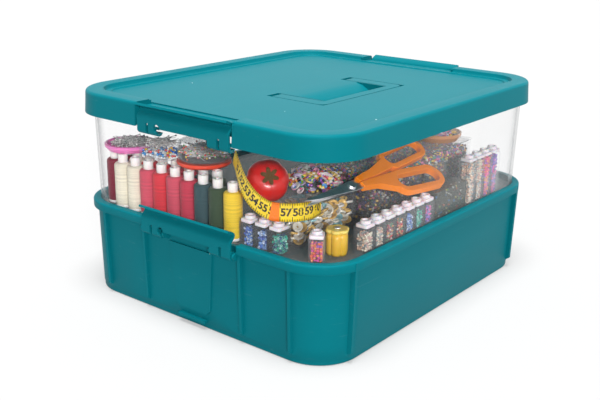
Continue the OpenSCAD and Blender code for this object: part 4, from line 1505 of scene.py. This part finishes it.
@dataclass
class BigBoxes:
    """The flat button box, the deep bead bin, the smoked box and the orange dish."""

    button: float = 11.0
    bin_bead: float = 3.0
    bin_crest: float = 9.0

    def box_space(self, node: str) -> tuple[np.ndarray, np.ndarray]:
        """Returns the middle of the underside of a CAD node and its sizes."""
        low, high = corners(node)
        return np.array([*(low + high)[:2] / 2, low[2]]), high - low

    def buttons(self) -> None:
        """Fills the flat box with buttons."""
        origin, sizes = self.box_space("box_buttons")
        scatter = Scatter(31)
        spots = scatter.fill_box(sizes, self.button * 0.62, self.button * 0.9)
        scatter.put(
            BeadShape.BUTTON.shape(), spots + origin, self.button * 0.82, Palette.BUTTON, 0.35
        )
        mount(scatter.finish("box_of_buttons"), BUTTONS, ["box_buttons"])

    def bin(self) -> None:
        """Fills the deep bin with mixed beads, with darker copies of their colours below the crest
        as painted shade.
        """
        origin, sizes = self.box_space("bin_beads")
        scatter = Scatter(32)
        spots = scatter.fill_box(sizes, self.bin_bead, self.bin_bead * 1.5)
        crest = spots[:, 2] > sizes[2] - self.bin_crest
        # Painted shade: beads below the crest take darker copies of the mixed colours.
        scatter.put(BeadShape.SEED.shape(), spots[~crest] + origin, self.bin_bead, Palette.MIXED_IN_PAINTED_SHADE)
        scatter.put(BeadShape.SEED.shape(), spots[crest] + origin, self.bin_bead, Palette.MIXED)
        mount(scatter.finish("bin_bead_fill"), BEADS, ["bin_beads"])

    def heap(self, name: str, node: str, slot: str, number: int, seed: int) -> None:
        """Piles beads, sequins and buttons in the form of a CAD heap.

        Args:
            name: Name of the piece.
            node: The CAD heap.
            slot: The record's material slot; not used.
            number: How many small things.
            seed: Seed of the pile.
        """
        origin, sizes = self.box_space(node)
        scatter = Scatter(seed)
        chance = scatter.chance
        angle = chance.uniform(0, 2 * math.pi, number)
        share = np.sqrt(chance.uniform(0, 1, number))
        reach, tall = sizes[0] / 2 - 1.6, sizes[2] - 1.2
        level = np.sqrt(1 - share**2 * 0.96) * tall * chance.uniform(0.8, 1.0, number)
        centres = np.column_stack(
            [reach * share * np.cos(angle), reach * share * np.sin(angle), np.maximum(level, 0.9)]
        )
        centres += origin
        kind = chance.uniform(0, 1, number)
        sort = np.digitize(kind, (0.45, 0.7, 0.86))
        seeds, rounds, sequins, pearls = (sort == k for k in range(4))
        scatter.put(
            BeadShape.SEED.shape(), centres[seeds], chance.uniform(2.2, 3.6, seeds.sum()),
            Palette.MIXED
        )
        scatter.put(
            BeadShape.ROUND.shape(), centres[rounds], chance.uniform(1.8, 3.6, rounds.sum()),
            Palette.MIXED
        )
        scatter.put(BeadShape.SEQUIN.shape(), centres[sequins], 4.6, Palette.BRIGHT, 0.4)
        rise = np.array([0, 0, 0.8])
        scatter.put(
            BeadShape.BUTTON.shape(), centres[pearls] + rise,
            chance.uniform(5.5, 8.5, pearls.sum()), Palette.PEARL, 0.35
        )
        mount(scatter.finish(name), BEADS, [node])

    def smoked(self) -> None:
        """Dresses the smoked box and puts its sparse beads just inside it."""
        dress("dark_bead_box", SMOKED, 0.6)
        origin, sizes = self.box_space("dark_bead_box")
        scatter = Scatter(34)
        inner = sizes - [1.6, 1.6, 1.6]
        spots = scatter.fill_box(inner, 2.6, 2.6) + origin + [0, 0, 0.8]
        bright = scatter.chance.uniform(0, 1, len(spots)) < 0.1
        scatter.put(BeadShape.SEED.shape(), spots[~bright], 2.5, Palette.DARK)
        scatter.put(BeadShape.ROUND.shape(), spots[bright], 2.3, Palette.BRIGHT)
        mount(scatter.finish("smoked_box_fill"), BEADS)

    def build(self) -> None:
        """Dresses the boxes and fills them."""
        for node in ("button_box", "button_box_lid", "bead_bin", "bin_lid"):
            dress(node, BOX_CLEAR, 0.5)
        dress("orange_dish", ORANGE_CLEAR, 0.3)
        self.buttons()
        self.bin()
        self.heap("mixed_heap", "bead_heap", "mixed_beads", 640, 33)
        self.heap("dish_heap", "dish_beads", "mixed_beads", 300, 35)
        self.smoked()


@dataclass
class Studio:
    """White surroundings, lamps and the camera of the photograph."""

    azimuth: float = -51.2
    elevation: float = 17.8
    roll: float = 0.7
    distance: float = 904.4
    shift: tuple[float, float] = (-13.8, -23.8)
    target_height: float = 100.0
    picture_width: float = 600.0
    sensor_width: float = 36.0
    floor_half: float = 6000.0
    floor_drop: float = 0.2
    ambient: float = 0.36
    lamps: tuple[tuple[str, float, float, Colour], ...] = (
        ("overhead", 4.7, 24.0, (-0.1, -0.08, 0.99)),
        ("front_window", 2.2, 14.0, (-0.6, -0.75, 0.3)),
    )
    floor_colour: float = 0.42
    paper_colour: float = 0.5
    floor_veil: float = 0.4

    def camera(self) -> None:
        """Sets the camera that was fitted to the photograph."""
        az, el, roll = (math.radians(v) for v in (self.azimuth, self.elevation, self.roll))
        back = Vector((math.sin(az) * math.cos(el), -math.cos(az) * math.cos(el), math.sin(el)))
        level = (-back).cross(Vector((0, 0, 1))).normalized()
        upward = level.cross(-back)
        right = math.cos(roll) * level + math.sin(roll) * upward
        up = -math.sin(roll) * level + math.cos(roll) * upward
        eye = back * self.distance + right * self.shift[0] + up * self.shift[1] + Vector(
            (0, 0, self.target_height)
        )
        data = bpy.data.cameras.new("photo_camera")
        data.lens = self.distance / self.picture_width * self.sensor_width
        camera = bpy.data.objects.new("photo_camera", data)
        columns = Matrix((right, up, back)).transposed().to_4x4()
        camera.matrix_world = Matrix.Translation(eye * MM) @ columns
        bpy.context.scene.collection.objects.link(camera)
        bpy.context.scene.camera = camera

    def seen(self, graph: Graph) -> bpy.types.NodeSocket:
        """Returns one for rays that show the background, and zero for light."""
        path = graph.add("LightPath")
        shown = graph.maths("MAXIMUM", path.outputs["Is Camera Ray"], path.outputs["Is Glossy Ray"])
        return graph.maths("MAXIMUM", shown, path.outputs["Is Transmission Ray"])

    def floor(self) -> None:
        """Makes the white floor that keeps the object's shadow."""
        square = np.array([(-1, -1, 0), (1, -1, 0), (1, 1, 0), (-1, 1, 0)], float) * self.floor_half
        floor = make_mesh("studio_floor", (square, [(0, 1, 2, 3)]), False)
        floor.location.z = -self.floor_drop * MM
        finish = Finish("floor_paper", (0.9, 0.9, 0.9), 0.7)
        graph, shader = finish.start()
        shown = self.seen(graph)
        graph.set(
            shader, "Base Color",
            graph.mix(shown, (self.floor_colour,) * 3, (self.paper_colour,) * 3)
        )
        graph.set(shader, "Specular IOR Level", 0.0)
        paper = graph.add("Emission", {"Color": (1.0, 1.0, 1.0), "Strength": 1.0})
        veil = graph.times(shown, self.floor_veil)
        blend = graph.add("MixShader", {0: veil, 1: shader.outputs[0], 2: paper.outputs[0]})
        output = graph.tree.nodes["Material Output"]
        graph.tree.links.new(blend.outputs[0], output.inputs["Surface"])
        floor.data.materials.append(bpy.data.materials[finish.name])

    def light(self) -> None:
        """Sets the white surroundings, a soft lamp overhead and a low one in front."""
        world = bpy.data.worlds.new("white_room")
        bpy.context.scene.world = world
        world.use_nodes = True
        graph = Graph(world.node_tree)
        sky = world.node_tree.nodes["Background"]
        graph.set(sky, "Color", (1.0, 1.0, 1.0))
        spread = 1.0 - self.ambient
        graph.set(sky, "Strength", graph.plus(graph.times(self.seen(graph), spread), self.ambient))
        for name, strength, softness, way in self.lamps:
            data = bpy.data.lights.new(name, "SUN")
            data.energy = strength
            data.angle = math.radians(softness)
            sun = bpy.data.objects.new(name, data)
            sun.rotation_mode = "QUATERNION"
            sun.rotation_quaternion = Vector(way).to_track_quat("Z", "Y")
            bpy.context.scene.collection.objects.link(sun)

    def build(self) -> None:
        """Sets up the whole studio."""
        bpy.context.scene.view_settings.view_transform = "Standard"
        self.camera()
        self.floor()
        self.light()


def main() -> None:
    """Builds every sub-assembly in order."""
    logging.basicConfig(level=logging.INFO)
    builders = (
        TealShell(), ClearTray(), Spools(), PinContainers(), Pincushion(), MeasuringTape(),
        Scissors(),
        SmallBoxes(), BigBoxes(), Studio(),
    )
    for builder in builders:
        builder.build()
        log.info("built %s", type(builder).__name__)


if __name__ == "__main__":
    main()
